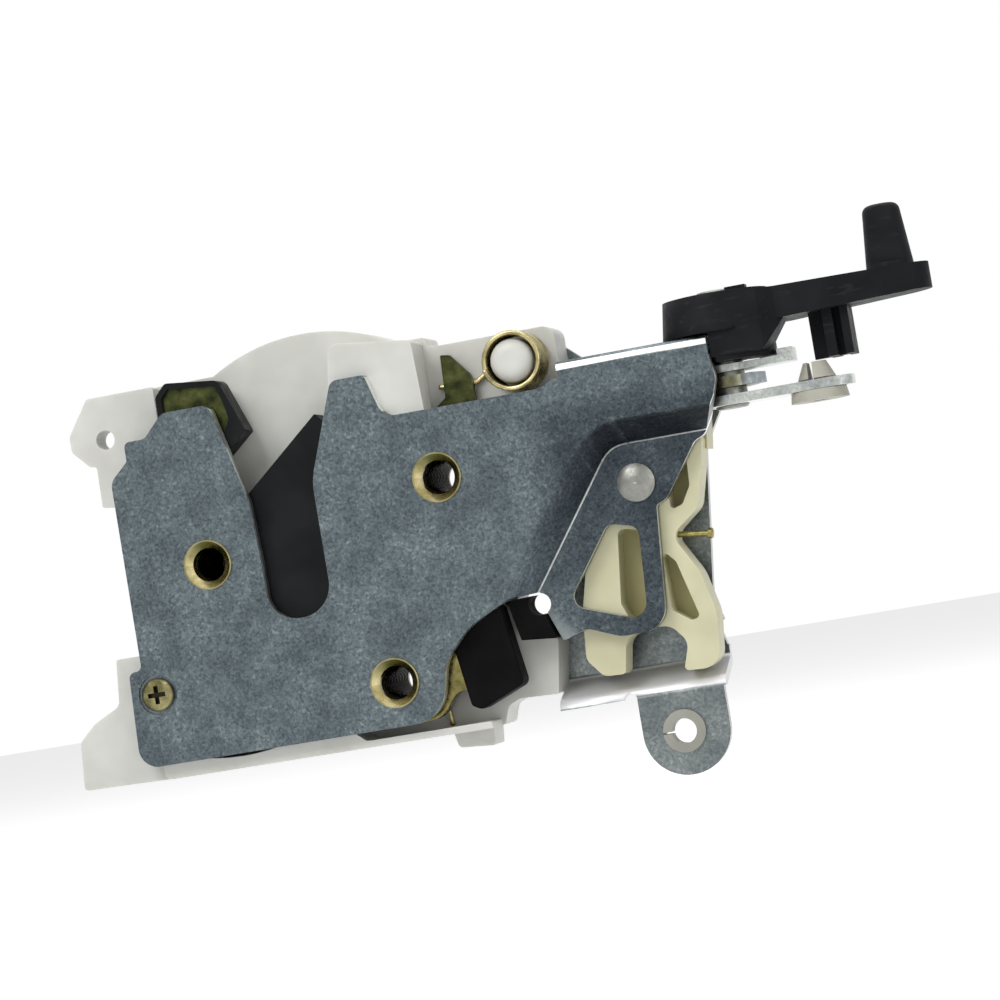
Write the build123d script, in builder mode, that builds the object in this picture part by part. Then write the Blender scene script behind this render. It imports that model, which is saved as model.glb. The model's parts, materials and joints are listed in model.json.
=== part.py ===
import os
from math import atan, cos, degrees, radians, sin, tan

from build123d import *

# Door latch actuator, in millimetres. X runs along the bottom edge of the face plate, Y goes back
# into the door from the front face of the plate, and Z points up. The origin is the centre of the
# claw bush at the front face. The latch stands open, ready for the striker.

# Pivots, as (x, z) across the face plate
CLAW_PIVOT = (0.0, 0.0)
UPPER_PIVOT = (49.9, 9.3)
PAWL_PIVOT = (34.5, -29.6)
LINK_PIVOT = (88.1, 1.7)
PEG_CENTRE = (68.0, 29.7)
TAB_HOLE = (88.7, -48.4)
EAR_HOLE = (-20.0, 29.1)
SCREW_SPOT = (-14.9, -24.2)

# Sheet metal
PLATE_T = 2.6
BEND_R = 3.8
JOGGLE = 7.0
BRACKET_T = 2.0
LEVER_T = 1.3

# Depths behind the front face
CATCH_FRONT = 3.2
CATCH_BACK = 8.8
STEEL_SKIN = 0.8
ARM_FRONT = 9.4
FLOOR_FRONT = 12.0
FLOOR_T = 2.0
CASE_BACK = 22.0
WALL = 2.0

# Bushes
BORE_R = 3.4
NECK_R = 5.0
BARREL_R = 5.8
BUSH_PROUD = 0.4
RUNNING_FIT = 0.06

# Striker slot
SLOT_X = 17.8
SLOT_R = 6.65
SLOT_BOTTOM_Z = -7.0

# Flange
FLANGE_TOP = 27.7
FLANGE_LEFT = 77.3
FLANGE_RIGHT = 107.6
TONGUE_R = 7.2

# Upright pivot of the levers, as (x, y) across the flange, just past the flange's right end
LEVER_PIVOT = (FLANGE_RIGHT + 1.4, 11.5)

# Claw
TOOTH_R = 28.5
NOTCH_R = 24.9
RELIEF_R = 22.4
CLAW_HUB_R = 13.6
THROAT_ANGLE = 39.6
THROAT_OFFSET = 8.0
THROAT_HALF = 4.4
THROAT_DEPTH = 16.2
HOOK_RIM = 1.2

# Pawl
STUD_SPOT = (46.0, -10.0)
STUD_R = 2.0

# Lock lever and link
DRUM_R = 10.5
DRUM_BOTTOM = 28.0
DRUM_TOP = 35.6
SKIRT_BOTTOM = 22.0
LUG_BOTTOM = 22.2
LUG_T = 2.5
BALL_R = 1.5
BALL_Z = 12.6
BALL_SPOT = (-9.56, 8.48)
LINK_FRONT = 9.9
LINK_BACK = 17.0
RIVET_R = 2.6
ARM_END = (LEVER_PIVOT[0] + 37.5, 14.0)

# Levers under the flange
OUTSIDE_Z = 13.6
OUTSIDE_T = 1.9
INSIDE_Z = 17.0
INSIDE_T = 2.2
STOP_Z = 20.1
STOP_T = 1.4
CLIP_SPOT = (LEVER_PIVOT[0] + 17.6, 10.0)
CLIP_R = 2.6

# Bracket
TAB_FRONT = 11.0
TAB_EYE_R = 9.0
GROMMET_R = 3.9
GROMMET_BORE_R = 2.5


def at_depth(y):
    """Plane parallel to the face plate, y behind its front face; a negative extrusion goes back."""
    return Plane.XZ.offset(-y)


def rounded(corners):
    """Closed line through corners (across, up, radius); each arc fits its two sides, 0 is sharp."""
    bends = []
    count = len(corners)
    for index, (across, up, radius) in enumerate(corners):
        corner = Vector(across, up)
        before = Vector(*corners[index - 1][:2]) - corner
        after = Vector(*corners[(index + 1) % count][:2]) - corner
        half = radians(before.get_angle(after)) / 2
        reach = min(radius / tan(half), 0.49 * before.length, 0.49 * after.length)
        bisector = (before.normalized() + after.normalized()).normalized()
        start = corner + before.normalized() * reach
        middle = corner + bisector * (reach / cos(half) - reach * tan(half))
        bends.append((start, middle, corner + after.normalized() * reach))
    for index, (start, middle, end) in enumerate(bends):
        if (end - start).length > 0.001:
            ThreePointArc(start, middle, end)
        next_start = bends[(index + 1) % count][0]
        if (next_start - end).length > 0.001:
            Line(end, next_start)


def polar(radius, angle, centre=CLAW_PIVOT):
    """Point at a radius and an angle in degrees about a pivot."""
    return (centre[0] + radius * cos(radians(angle)), centre[1] + radius * sin(radians(angle)))


def along_throat(depth, side):
    """Point of the open claw: depth along its throat, side square to it."""
    turn = radians(THROAT_ANGLE)
    return (depth * cos(turn) - side * sin(turn), depth * sin(turn) + side * cos(turn))


def save(part, name):
    """Label a finished piece and write it to its file."""
    part.label = name
    export_step(part, f"parts/{name}.step")


os.makedirs("parts", exist_ok=True)

# Face plate: flat sheet with the striker slot, the flange bent back along the top right, and the
# lower right corner set back behind a slope.
PLATE_OUTLINE = [
    (-17.5, 19.8, 3.0),
    (-13.5, 23.4, 1.0),
    (-13.5, 27.3, 1.2),
    (-9.0, 27.3, 2.0),
    (-4.6, 31.8, 2.5),
    (5.4, 31.8, 2.2),
    (10.6, 11.0, 12.0),
    (SLOT_X - SLOT_R, -2.0, 0.5),
    (SLOT_X - SLOT_R, SLOT_BOTTOM_Z - SLOT_R, SLOT_R - 0.01),
    (SLOT_X + SLOT_R, SLOT_BOTTOM_Z - SLOT_R, SLOT_R - 0.01),
    (SLOT_X + SLOT_R - 0.1, 13.0, 14.0),
    (31.4, 32.0, 2.0),
    (38.4, 32.0, 1.0),
    (41.0, 23.0, 3.5),
    (73.6, 23.0, 5.0),
    (76.4, 24.6, 0.6),
    (FLANGE_LEFT, 23.9, 0.3),
    (FLANGE_RIGHT, 23.9, 0.2),
    (108.3, 19.0, 2.5),
    (107.3, 15.7, 3.0),
    (103.2, 8.7, 3.0),
    (101.0, 7.9, 3.0),
    (93.6, -2.4, 2.0),
    (91.3, -3.4, 1.0),
    (89.3, -27.7, 5.0),
    (80.0, -27.9, 6.0),
    (73.4, -25.2, 3.0),
    (68.3, -26.8, 0.4),
    (66.1, -21.0, 0.3),
    (65.2, -16.5, 0.3),
    (60.0, -16.8, 6.0),
    (51.0, -21.2, 12.0),
    (45.6, -26.9, 8.0),
    (43.0, -38.4, 7.5),
    (-21.0, -38.6, 4.0),
    (-20.3, -18.9, 3.5),
    (-17.5, -18.9, 1.2),
]
WINDOW_OUTLINE = [(80.9, -5.4, 2.2), (87.0, -6.9, 2.2), (85.9, -25.7, 3.0), (70.2, -20.1, 2.6)]
NOTCH_SPOT = (64.8, -18.9)
NOTCH_HOLE_R = 2.2

# The slope leaves the front face along this line and runs back and to the lower right; its back
# face is the sheet's thickness behind.
SLOPE_LINE = [(58.8, -17.0), (81.6, 14.3)]
SLOPE_RUN = 4.8
SLOPE_ANGLE = atan(SLOPE_RUN / JOGGLE)
SLOPE_R = 11.0
FOOT_R = 2.0
BACK_SHIFT = SLOPE_RUN - PLATE_T * (1 / cos(SLOPE_ANGLE) - tan(SLOPE_ANGLE))
FAR = 150.0


def slope_region(shift):
    """Corners of the set-back region, moved inward by shift from the front edge of the slope."""
    (foot_x, foot_z), (top_x, top_z) = SLOPE_LINE
    run_x, run_z = top_x - foot_x, top_z - foot_z
    length = (run_x ** 2 + run_z ** 2) ** 0.5
    left = foot_x + shift
    top = top_z - shift
    # The slanted side is moved along its own normal, then met with the level and upright sides.
    base_x, base_z = foot_x + shift * run_z / length, foot_z - shift * run_x / length
    foot_up = base_z + (left - base_x) * run_z / run_x
    top_across = base_x + (top - base_z) * run_x / run_z
    return (left, foot_up), (top_across, top)


with BuildPart() as face_plate:
    with BuildSketch(at_depth(0)):
        with BuildLine():
            rounded(PLATE_OUTLINE)
        make_face()
    extrude(amount=-(JOGGLE + PLATE_T))
    low_foot, low_top = slope_region(0.0)
    with BuildSketch(at_depth(0)):
        with BuildLine():
            rounded(
                [
                    (low_foot[0], -FAR, 0),
                    (*low_foot, FOOT_R),
                    (*low_top, SLOPE_R),
                    (FAR, low_top[1], 0),
                    (FAR, -FAR, 0),
                ]
            )
        make_face()
    extrude(amount=-JOGGLE, taper=degrees(SLOPE_ANGLE), mode=Mode.SUBTRACT)
    back_foot, back_top = slope_region(BACK_SHIFT)
    with BuildSketch(at_depth(JOGGLE + PLATE_T)):
        with BuildLine():
            rounded(
                [
                    (back_foot[0], -FAR, 0),
                    (*back_foot, FOOT_R),
                    (*back_top, SLOPE_R - BACK_SHIFT),
                    (FAR, back_top[1], 0),
                    (FAR, FAR, 0),
                    (-FAR, FAR, 0),
                    (-FAR, -FAR, 0),
                ]
            )
        make_face()
    extrude(amount=JOGGLE, taper=degrees(SLOPE_ANGLE), mode=Mode.SUBTRACT)
    with BuildSketch(at_depth(0)):
        with BuildLine():
            rounded(WINDOW_OUTLINE)
        make_face()
        with Locations(NOTCH_SPOT):
            Circle(NOTCH_HOLE_R)
        with Locations(CLAW_PIVOT, UPPER_PIVOT, PAWL_PIVOT):
            Circle(NECK_R)
        with Locations(LINK_PIVOT):
            Circle(RIVET_R)
        with Locations(SCREW_SPOT):
            Circle(1.7)
    extrude(amount=-(JOGGLE + PLATE_T), mode=Mode.SUBTRACT)
    with BuildSketch(at_depth(0)):
        with Locations(SCREW_SPOT):
            Circle(4.1)
    extrude(amount=-1.0, mode=Mode.SUBTRACT)
    # Bend and flange, as one profile carried along the top edge
    with BuildSketch(Plane.YZ.offset(FLANGE_LEFT)):
        with BuildLine():
            rounded(
                [
                    (0, FLANGE_TOP - BEND_R, 0),
                    (0, FLANGE_TOP, BEND_R),
                    (CASE_BACK, FLANGE_TOP, 0),
                    (CASE_BACK, FLANGE_TOP - PLATE_T, 0),
                    (PLATE_T, FLANGE_TOP - PLATE_T, BEND_R - PLATE_T),
                    (PLATE_T, FLANGE_TOP - BEND_R, 0),
                ]
            )
        make_face()
    extrude(amount=FLANGE_RIGHT - FLANGE_LEFT)
    with BuildSketch(Plane.XY.offset(FLANGE_TOP - PLATE_T)):
        with Locations(LEVER_PIVOT):
            Circle(TONGUE_R)
    extrude(amount=PLATE_T)
    with BuildSketch(Plane.XY.offset(FLANGE_TOP - PLATE_T)):
        with Locations(LEVER_PIVOT):
            Circle(RIVET_R)
    extrude(amount=PLATE_T, mode=Mode.SUBTRACT)
save(face_plate.part, "face_plate")


# Threaded pivot bushes: a neck riveted in the face plate, a barrel that carries the moving piece,
# and a neck in the bracket behind.
REAR_NECK_R = 4.6
MOUTH = 0.9


def bush(centre, collar_r, collar_back, rear_proud):
    """Revolved bush square to the plate, with a collar behind the plate and a neck in the bracket."""
    x, z = centre
    with BuildPart() as piece:
        with BuildSketch(Plane.XY.offset(z)):
            with BuildLine():
                Polyline(
                    (x + BORE_R + MOUTH + BUSH_PROUD, -BUSH_PROUD),
                    (x + NECK_R, -BUSH_PROUD),
                    (x + NECK_R, PLATE_T),
                    (x + collar_r, PLATE_T),
                    (x + collar_r, collar_back),
                    (x + BARREL_R, collar_back),
                    (x + BARREL_R, CASE_BACK),
                    (x + REAR_NECK_R, CASE_BACK),
                    (x + REAR_NECK_R, CASE_BACK + rear_proud),
                    (x + BORE_R, CASE_BACK + rear_proud),
                    (x + BORE_R, MOUTH),
                    close=True,
                )
            make_face()
        revolve(axis=Axis((x, 0, z), (0, 1, 0)), revolution_arc=360)
    return piece.part


REAR_PROUD = BRACKET_T + BUSH_PROUD
COLLAR_R = 7.6
save(bush(CLAW_PIVOT, COLLAR_R, CATCH_FRONT - 0.1, -0.1), "claw_bush")
save(bush(PAWL_PIVOT, COLLAR_R, CATCH_FRONT - 0.1, REAR_PROUD), "pawl_bush")
save(bush(UPPER_PIVOT, COLLAR_R, ARM_FRONT - 0.1, REAR_PROUD), "upper_bush")

# Claw: a steel plate with a hook, a throat for the striker and a ratchet tooth
CLAW_OUTLINE = [
    (*along_throat(37.0, THROAT_OFFSET - THROAT_HALF), 1.2),
    (*polar(37.2, 39.0), 1.5),
    (*polar(31.0, 30.0), 6.0),
    (*polar(NOTCH_R, 12.0), 6.0),
    (*polar(NOTCH_R, 0.0), 2.0),
    (*polar(NOTCH_R, -10.5), 0.5),
    (*polar(TOOTH_R, -12.0), 0.6),
    (*polar(TOOTH_R + 0.35, -24.0), 6.0),
    (*polar(TOOTH_R, -36.0), 1.5),
    (*polar(RELIEF_R, -45.0), 3.0),
    (*polar(RELIEF_R - 2.6, -70.0), 10.0),
    (*polar(CLAW_HUB_R + 1.0, -97.0), 4.0),
    (*polar(CLAW_HUB_R, -125.0), 5.0),
    (*polar(CLAW_HUB_R + 0.6, -165.0), 9.0),
    (*polar(CLAW_HUB_R + 0.6, 155.0), 9.0),
    (*polar(17.0, 122.0), 6.0),
    (-6.4, 22.0, 5.0),
    (-6.4, 35.4, 1.5),
    (-4.0, 37.9, 1.2),
    (7.2, 36.6, 1.8),
    (11.4, 25.6, 1.2),
    (*along_throat(24.6, THROAT_OFFSET + THROAT_HALF), 1.2),
]


def throat(half_width):
    """Striker throat of the open claw: a round end and two straight sides out past the rim."""
    left_out = along_throat(60.0, THROAT_OFFSET + half_width)
    left_in = along_throat(THROAT_DEPTH, THROAT_OFFSET + half_width)
    right_in = along_throat(THROAT_DEPTH, THROAT_OFFSET - half_width)
    right_out = along_throat(60.0, THROAT_OFFSET - half_width)
    Line(left_out, left_in)
    ThreePointArc(left_in, along_throat(THROAT_DEPTH - half_width, THROAT_OFFSET), right_in)
    Line(right_in, right_out)
    Line(right_out, left_out)


with BuildSketch(at_depth(CATCH_FRONT)) as claw_shape:
    with BuildLine():
        rounded(CLAW_OUTLINE)
    make_face()
    with BuildLine():
        throat(THROAT_HALF)
    make_face(mode=Mode.SUBTRACT)

with BuildSketch(at_depth(CATCH_FRONT)) as claw_core:
    add(claw_shape.sketch)
    offset(amount=-HOOK_RIM)

with BuildSketch(at_depth(CATCH_FRONT)) as claw_ratchet:
    with BuildLine():
        rounded(CLAW_OUTLINE)
    make_face()
    with BuildLine():
        Polyline(
            CLAW_PIVOT,
            polar(60.0, -128.0),
            polar(85.0, -60.0),
            polar(60.0, 8.0),
            close=True,
        )
    make_face(mode=Mode.INTERSECT)

HOOK_FACE = [
    (-9.0, 19.0),
    (-9.0, 42.0),
    (6.2, 42.0),
    (7.4, 33.0),
    (8.3, 28.5),
    (7.4, 26.8),
    (3.0, 19.0),
]
with BuildSketch(at_depth(CATCH_FRONT)) as hook_face:
    add(claw_core.sketch)
    with BuildLine():
        Polyline(*HOOK_FACE, close=True)
    make_face(mode=Mode.INTERSECT)

CLAW_BORE_R = BARREL_R + RUNNING_FIT

with BuildPart() as claw_plate:
    with BuildSketch(at_depth(CATCH_FRONT + STEEL_SKIN)):
        add(at_depth(CATCH_FRONT + STEEL_SKIN) * claw_core.sketch_local)
        add(at_depth(CATCH_FRONT + STEEL_SKIN) * claw_ratchet.sketch_local)
        with Locations(CLAW_PIVOT):
            Circle(CLAW_BORE_R, mode=Mode.SUBTRACT)
    extrude(amount=-(CATCH_BACK - CATCH_FRONT - 2 * STEEL_SKIN))
save(claw_plate.part, "claw_plate")

# The black coat of the claw leaves the hook's face and the tip of the ratchet tooth bare.
with BuildPart() as claw_cover:
    add(extrude(claw_shape.sketch, amount=-(CATCH_BACK - CATCH_FRONT), mode=Mode.PRIVATE))
    with BuildSketch(at_depth(CATCH_FRONT)):
        with Locations(CLAW_PIVOT):
            Circle(CLAW_BORE_R + 1.4)
        with BuildLine():
            Polyline(
                polar(TOOTH_R - 1.7, -46.0),
                polar(TOOTH_R - 1.4, -27.0),
                polar(TOOTH_R - 1.7, -8.0),
                polar(TOOTH_R + 9.0, -8.0),
                polar(TOOTH_R + 9.0, -46.0),
                close=True,
            )
        make_face()
    extrude(amount=-(CATCH_BACK - CATCH_FRONT), mode=Mode.SUBTRACT)
    add(extrude(hook_face.sketch, amount=-STEEL_SKIN, mode=Mode.PRIVATE), mode=Mode.SUBTRACT)
    add(claw_plate.part, mode=Mode.SUBTRACT)
save(claw_cover.part, "claw_cover")


# Wire springs: a coil round an axis square to the plate and two straight legs.
def torsion_spring(centre, front, back, coil_r, wire_r, turns, leg):
    """Coil between two depths, its far end led on through the leg's points (x, y, z)."""
    x, z = centre
    with BuildPart() as piece:
        with BuildLine() as coil:
            Helix((back - front) / turns, back - front, coil_r, (x, front, z), (0, 1, 0))
        with BuildSketch(Plane(origin=coil.line @ 0, z_dir=coil.line % 0)):
            RegularPolygon(wire_r, WIRE_SIDES)
        sweep(path=coil.line, is_frenet=True)
        start = coil.line @ 1
        with Locations(start):
            Sphere(wire_r + BEAD)
        for point in leg:
            end = Vector(*point)
            with BuildSketch(Plane(origin=start, z_dir=end - start)):
                RegularPolygon(wire_r, WIRE_SIDES)
            extrude(amount=(end - start).length)
            with Locations(end):
                Sphere(wire_r + BEAD)
            start = end
    return piece.part


WIRE_SIDES = 8
BEAD = 0.04
RETURN_WIRE_R = 0.5
RETURN_COIL_R = BARREL_R + RETURN_WIRE_R + 0.15
RETURN_TURNS = 1.25
SPRING_FRONT = CATCH_BACK + RETURN_WIRE_R + 0.15
SPRING_BACK = FLOOR_FRONT - RETURN_WIRE_R - 0.15
for spring_name, spring_x, spring_z, leg_run in (
    ("claw_spring", *CLAW_PIVOT, 12.0),
    ("pawl_spring", *PAWL_PIVOT, 10.0),
):
    leg_point = (spring_x + RETURN_COIL_R + 1.0, SPRING_BACK, spring_z - leg_run)
    save(
        torsion_spring(
            (spring_x, spring_z),
            SPRING_FRONT,
            SPRING_BACK,
            RETURN_COIL_R,
            RETURN_WIRE_R,
            RETURN_TURNS,
            [leg_point],
        ),
        spring_name,
    )

# Pawl: steel lever with a nose for the claw's tooth, a stud for the release lever and a coated tail
PAWL_BODY = [
    (6.6, -28.5, 0.5),
    (12.4, -28.0, 1.5),
    (22.0, -26.6, 6.0),
    (29.0, -21.0, 4.0),
    (36.6, -18.6, 3.0),
    (41.8, -8.6, 4.0),
    (48.6, -5.2, 4.0),
    (50.6, -12.0, 4.0),
    (45.4, -21.6, 4.0),
    (56.6, -25.4, 1.5),
    (55.6, -33.0, 1.5),
    (45.6, -33.4, 3.0),
    (42.0, -38.2, 5.0),
    (29.0, -38.3, 5.0),
    (14.0, -33.4, 6.0),
    (6.3, -32.4, 1.5),
]
PAWL_TAIL = [
    (46.6, -24.0, 1.0),
    (57.2, -16.6, 1.2),
    (59.8, -33.9, 1.6),
    (50.4, -37.7, 1.6),
    (48.4, -36.6, 1.0),
]

with BuildPart() as pawl_plate:
    with BuildSketch(at_depth(CATCH_FRONT + STEEL_SKIN)):
        with BuildLine():
            rounded(PAWL_BODY)
        make_face()
        with Locations(PAWL_PIVOT):
            Circle(BARREL_R + RUNNING_FIT, mode=Mode.SUBTRACT)
    extrude(amount=-(CATCH_BACK - CATCH_FRONT - 2 * STEEL_SKIN))
    with BuildSketch(at_depth(CATCH_FRONT + STEEL_SKIN)):
        with Locations(STUD_SPOT):
            Circle(STUD_R)
    extrude(amount=-(ARM_FRONT + LEVER_T + 0.2 - CATCH_FRONT - STEEL_SKIN))
save(pawl_plate.part, "pawl_plate")

with BuildPart() as pawl_cover:
    with BuildSketch(at_depth(CATCH_FRONT)):
        with BuildLine():
            rounded(PAWL_TAIL)
        make_face()
    extrude(amount=-(CATCH_BACK - CATCH_FRONT))
    fillet(pawl_cover.faces().sort_by(Axis.Y)[0].edges(), radius=0.6)
    add(pawl_plate.part, mode=Mode.SUBTRACT)
save(pawl_cover.part, "pawl_cover")

# Release lever: flat lever on the upper bush, with the tab above the plate and a slot for the stud
SLOT_MID_R = 20.0
SLOT_RUN = 3.2
STUD_PLAY = 0.45
stud_x, stud_z = STUD_SPOT
upper_x, upper_z = UPPER_PIVOT
RELEASE_OUTLINE = [
    (52.0, 25.2, 0.8),
    (52.3, 33.8, 0.3),
    (54.2, 33.5, 0.4),
    (57.9, 28.9, 1.4),
    (58.3, 19.0, 6.0),
    (60.0, 8.0, 8.0),
    (52.0, -8.0, 8.0),
    (50.4, -15.0, 4.6),
    (41.4, -15.8, 4.6),
    (40.6, -7.0, 4.0),
    (41.5, 8.0, 8.0),
    (46.0, 17.0, 6.0),
    (49.6, 23.4, 1.0),
]

with BuildPart() as release_lever:
    with BuildSketch(at_depth(ARM_FRONT)):
        with BuildLine():
            rounded(RELEASE_OUTLINE)
        make_face()
        with Locations(UPPER_PIVOT):
            Circle(BARREL_R + RUNNING_FIT, mode=Mode.SUBTRACT)
        slot_direction = Vector(stud_x - upper_x, stud_z - upper_z).normalized()
        slot_centre = Vector(upper_x, upper_z) + slot_direction * SLOT_MID_R
        slot_angle = Vector(1, 0).get_signed_angle(slot_direction)
        with Locations(Location((slot_centre.X, slot_centre.Y), slot_angle)):
            SlotCenterToCenter(SLOT_RUN, 2 * (STUD_R + STUD_PLAY), mode=Mode.SUBTRACT)
    extrude(amount=-LEVER_T)
save(release_lever.part, "release_lever")

# Release spring: a close coil of touching turns round the housing's peg, and a leg behind the lever
PEG_R = 4.45
PEG_FRONT = 1.8
RELEASE_COIL_R = 5.6
RELEASE_WIRE_R = 0.55
RELEASE_TURNS = 10
LEG_Y = ARM_FRONT + LEVER_T + RELEASE_WIRE_R + 0.15
peg_x, peg_z = PEG_CENTRE
first_turn = PEG_FRONT + RELEASE_WIRE_R
turn_pitch = (LEG_Y - first_turn) / (RELEASE_TURNS - 1)
with BuildPart() as release_spring:
    with BuildSketch(Plane.XY.offset(peg_z)):
        for turn in range(RELEASE_TURNS):
            with Locations((peg_x + RELEASE_COIL_R, first_turn + turn * turn_pitch)):
                RegularPolygon(RELEASE_WIRE_R, WIRE_SIDES)
    revolve(axis=Axis((peg_x, 0, peg_z), (0, 1, 0)), revolution_arc=360)
    coil_end = Vector(peg_x - RELEASE_COIL_R, LEG_Y, peg_z)
    bend = Vector(58.4, LEG_Y, 27.2)
    leg_end = Vector(49.9, LEG_Y, 27.6)
    for wire_from, wire_to in ((coil_end, bend), (bend, leg_end)):
        with BuildSketch(Plane(origin=wire_from, z_dir=wire_to - wire_from)):
            RegularPolygon(RELEASE_WIRE_R, WIRE_SIDES)
        extrude(amount=(wire_to - wire_from).length)
    with Locations(bend):
        Sphere(RELEASE_WIRE_R + BEAD)
save(release_spring.part, "release_spring")

# Housing: moulded case behind the plate, open at the front round the moving pieces and at the back
# behind the floor, with an arch over the claw, an ear, a foot and the peg for the release spring.
CASE_OUTLINE = [
    (-17.0, 38.2, 3.0),
    (-17.0, -41.6, 1.5),
    (52.6, -41.6, 1.0),
    (53.8, -38.0, 1.5),
    (56.5, -36.9, 1.5),
    (64.4, -37.2, 0.6),
    (66.1, -26.6, 0.6),
    (64.4, -20.0, 1.5),
    (59.2, -14.0, 2.0),
    (75.6, 6.5, 3.0),
    (75.6, 36.0, 2.5),
    (49.6, 36.0, 0.8),
    (49.0, 38.2, 0.8),
]
RIM_OUTLINE = [
    (-17.0, 22.0, 2.0),
    (-17.0, -41.6, 1.5),
    (52.6, -41.6, 1.0),
    (53.8, -38.0, 1.5),
    (56.5, -36.9, 1.5),
    (64.4, -37.2, 0.6),
    (64.4, -17.4, 0.5),
    (58.8, -17.4, 0.3),
    (58.4, -13.6, 2.0),
    (71.6, 3.0, 3.0),
    (75.0, 21.0, 2.0),
    (49.0, 21.0, 0.5),
    (48.4, 37.4, 1.0),
    (33.0, 39.4, 1.2),
    (31.2, 38.4, 1.0),
    (29.4, 26.0, 2.0),
    (20.0, 20.0, 1.0),
    (0.0, 22.0, 1.0),
]
CATCH_POCKET = [
    (-8.0, 50.0, 0),
    (-8.0, 23.6, 1.0),
    (-15.2, 16.0, 1.0),
    (-15.2, -35.0, 2.0),
    (-11.0, -38.4, 2.0),
    (24.0, -38.4, 1.0),
    (26.0, -40.2, 1.0),
    (52.0, -40.2, 0.5),
    (52.4, -46.0, 0),
    (68.0, -46.0, 0),
    (68.0, -17.0, 0),
    (59.6, -17.0, 0.3),
    (59.6, -12.6, 2.0),
    (54.0, -1.6, 4.0),
    (38.0, -3.0, 2.0),
    (29.6, 16.0, 1.0),
    (29.6, 50.0, 0),
]
ARM_POCKET = [
    (36.0, -16.0, 1.0),
    (57.4, -12.6, 2.0),
    (62.0, 6.0, 6.0),
    (62.4, 60.0, 1.0),
    (48.4, 60.0, 1.0),
    (48.4, 25.0, 2.0),
    (36.0, 10.0, 6.0),
]
EAR_OUTLINE = [
    (-8.2, 38.1, 0.5),
    (-22.7, 38.1, 1.0),
    (-27.6, 31.0, 2.0),
    (-27.6, 27.8, 1.5),
    (-24.2, 24.2, 1.5),
    (-22.8, 23.9, 0.5),
    (-22.9, 15.4, 0.6),
    (-16.0, 15.0, 0.5),
    (-15.2, 17.0, 0.5),
    (-8.2, 24.0, 0.5),
]
FOOT_OUTLINE = [
    (-16.0, -15.8, 0.5),
    (-24.3, -15.8, 0.5),
    (-25.2, -25.2, 2.0),
    (-31.0, -28.0, 2.0),
    (-34.7, -31.3, 1.2),
    (-35.5, -41.2, 0.8),
    (-16.0, -41.6, 0.5),
]
ARCH_CENTRE = (23.4, 4.5)
ARCH_R = 39.0
CLAW_SWEEP_R = 39.2
COLLAR_CLEAR_R = 8.2
BUSH_HOLE_R = BARREL_R + 0.1
BOSS_R = 8.0
SCREW_BOSS_R = 4.4
SCREW_R = 1.6
BACK_SCREW_SPOTS = [(20.0, 10.0), (66.0, 24.0), (55.0, -31.0)]
EAR_FRONT = 8.0
EAR_HOLE_R = 2.0
FOOT_FRONT = 5.0
PEG_DOME = 2.6
BUMPER_Z = (-2.0, 6.0)
BUMPER_FRONT = 4.0
STOP_FRONT = 5.9
STOP_SHAPE = [
    (57.6, -17.3, 0.3),
    (58.6, -18.2, 0.3),
    (60.1, -25.4, 0.3),
    (67.3, -26.1, 0.3),
    (65.6, -20.8, 0.3),
    (64.6, -17.0, 0.3),
]
SIGHT_HOLE = (62.4, -18.5)
SIGHT_HOLE_R = 3.5
STOP_PLAY = 0.3
RIB_T = 1.4

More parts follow.
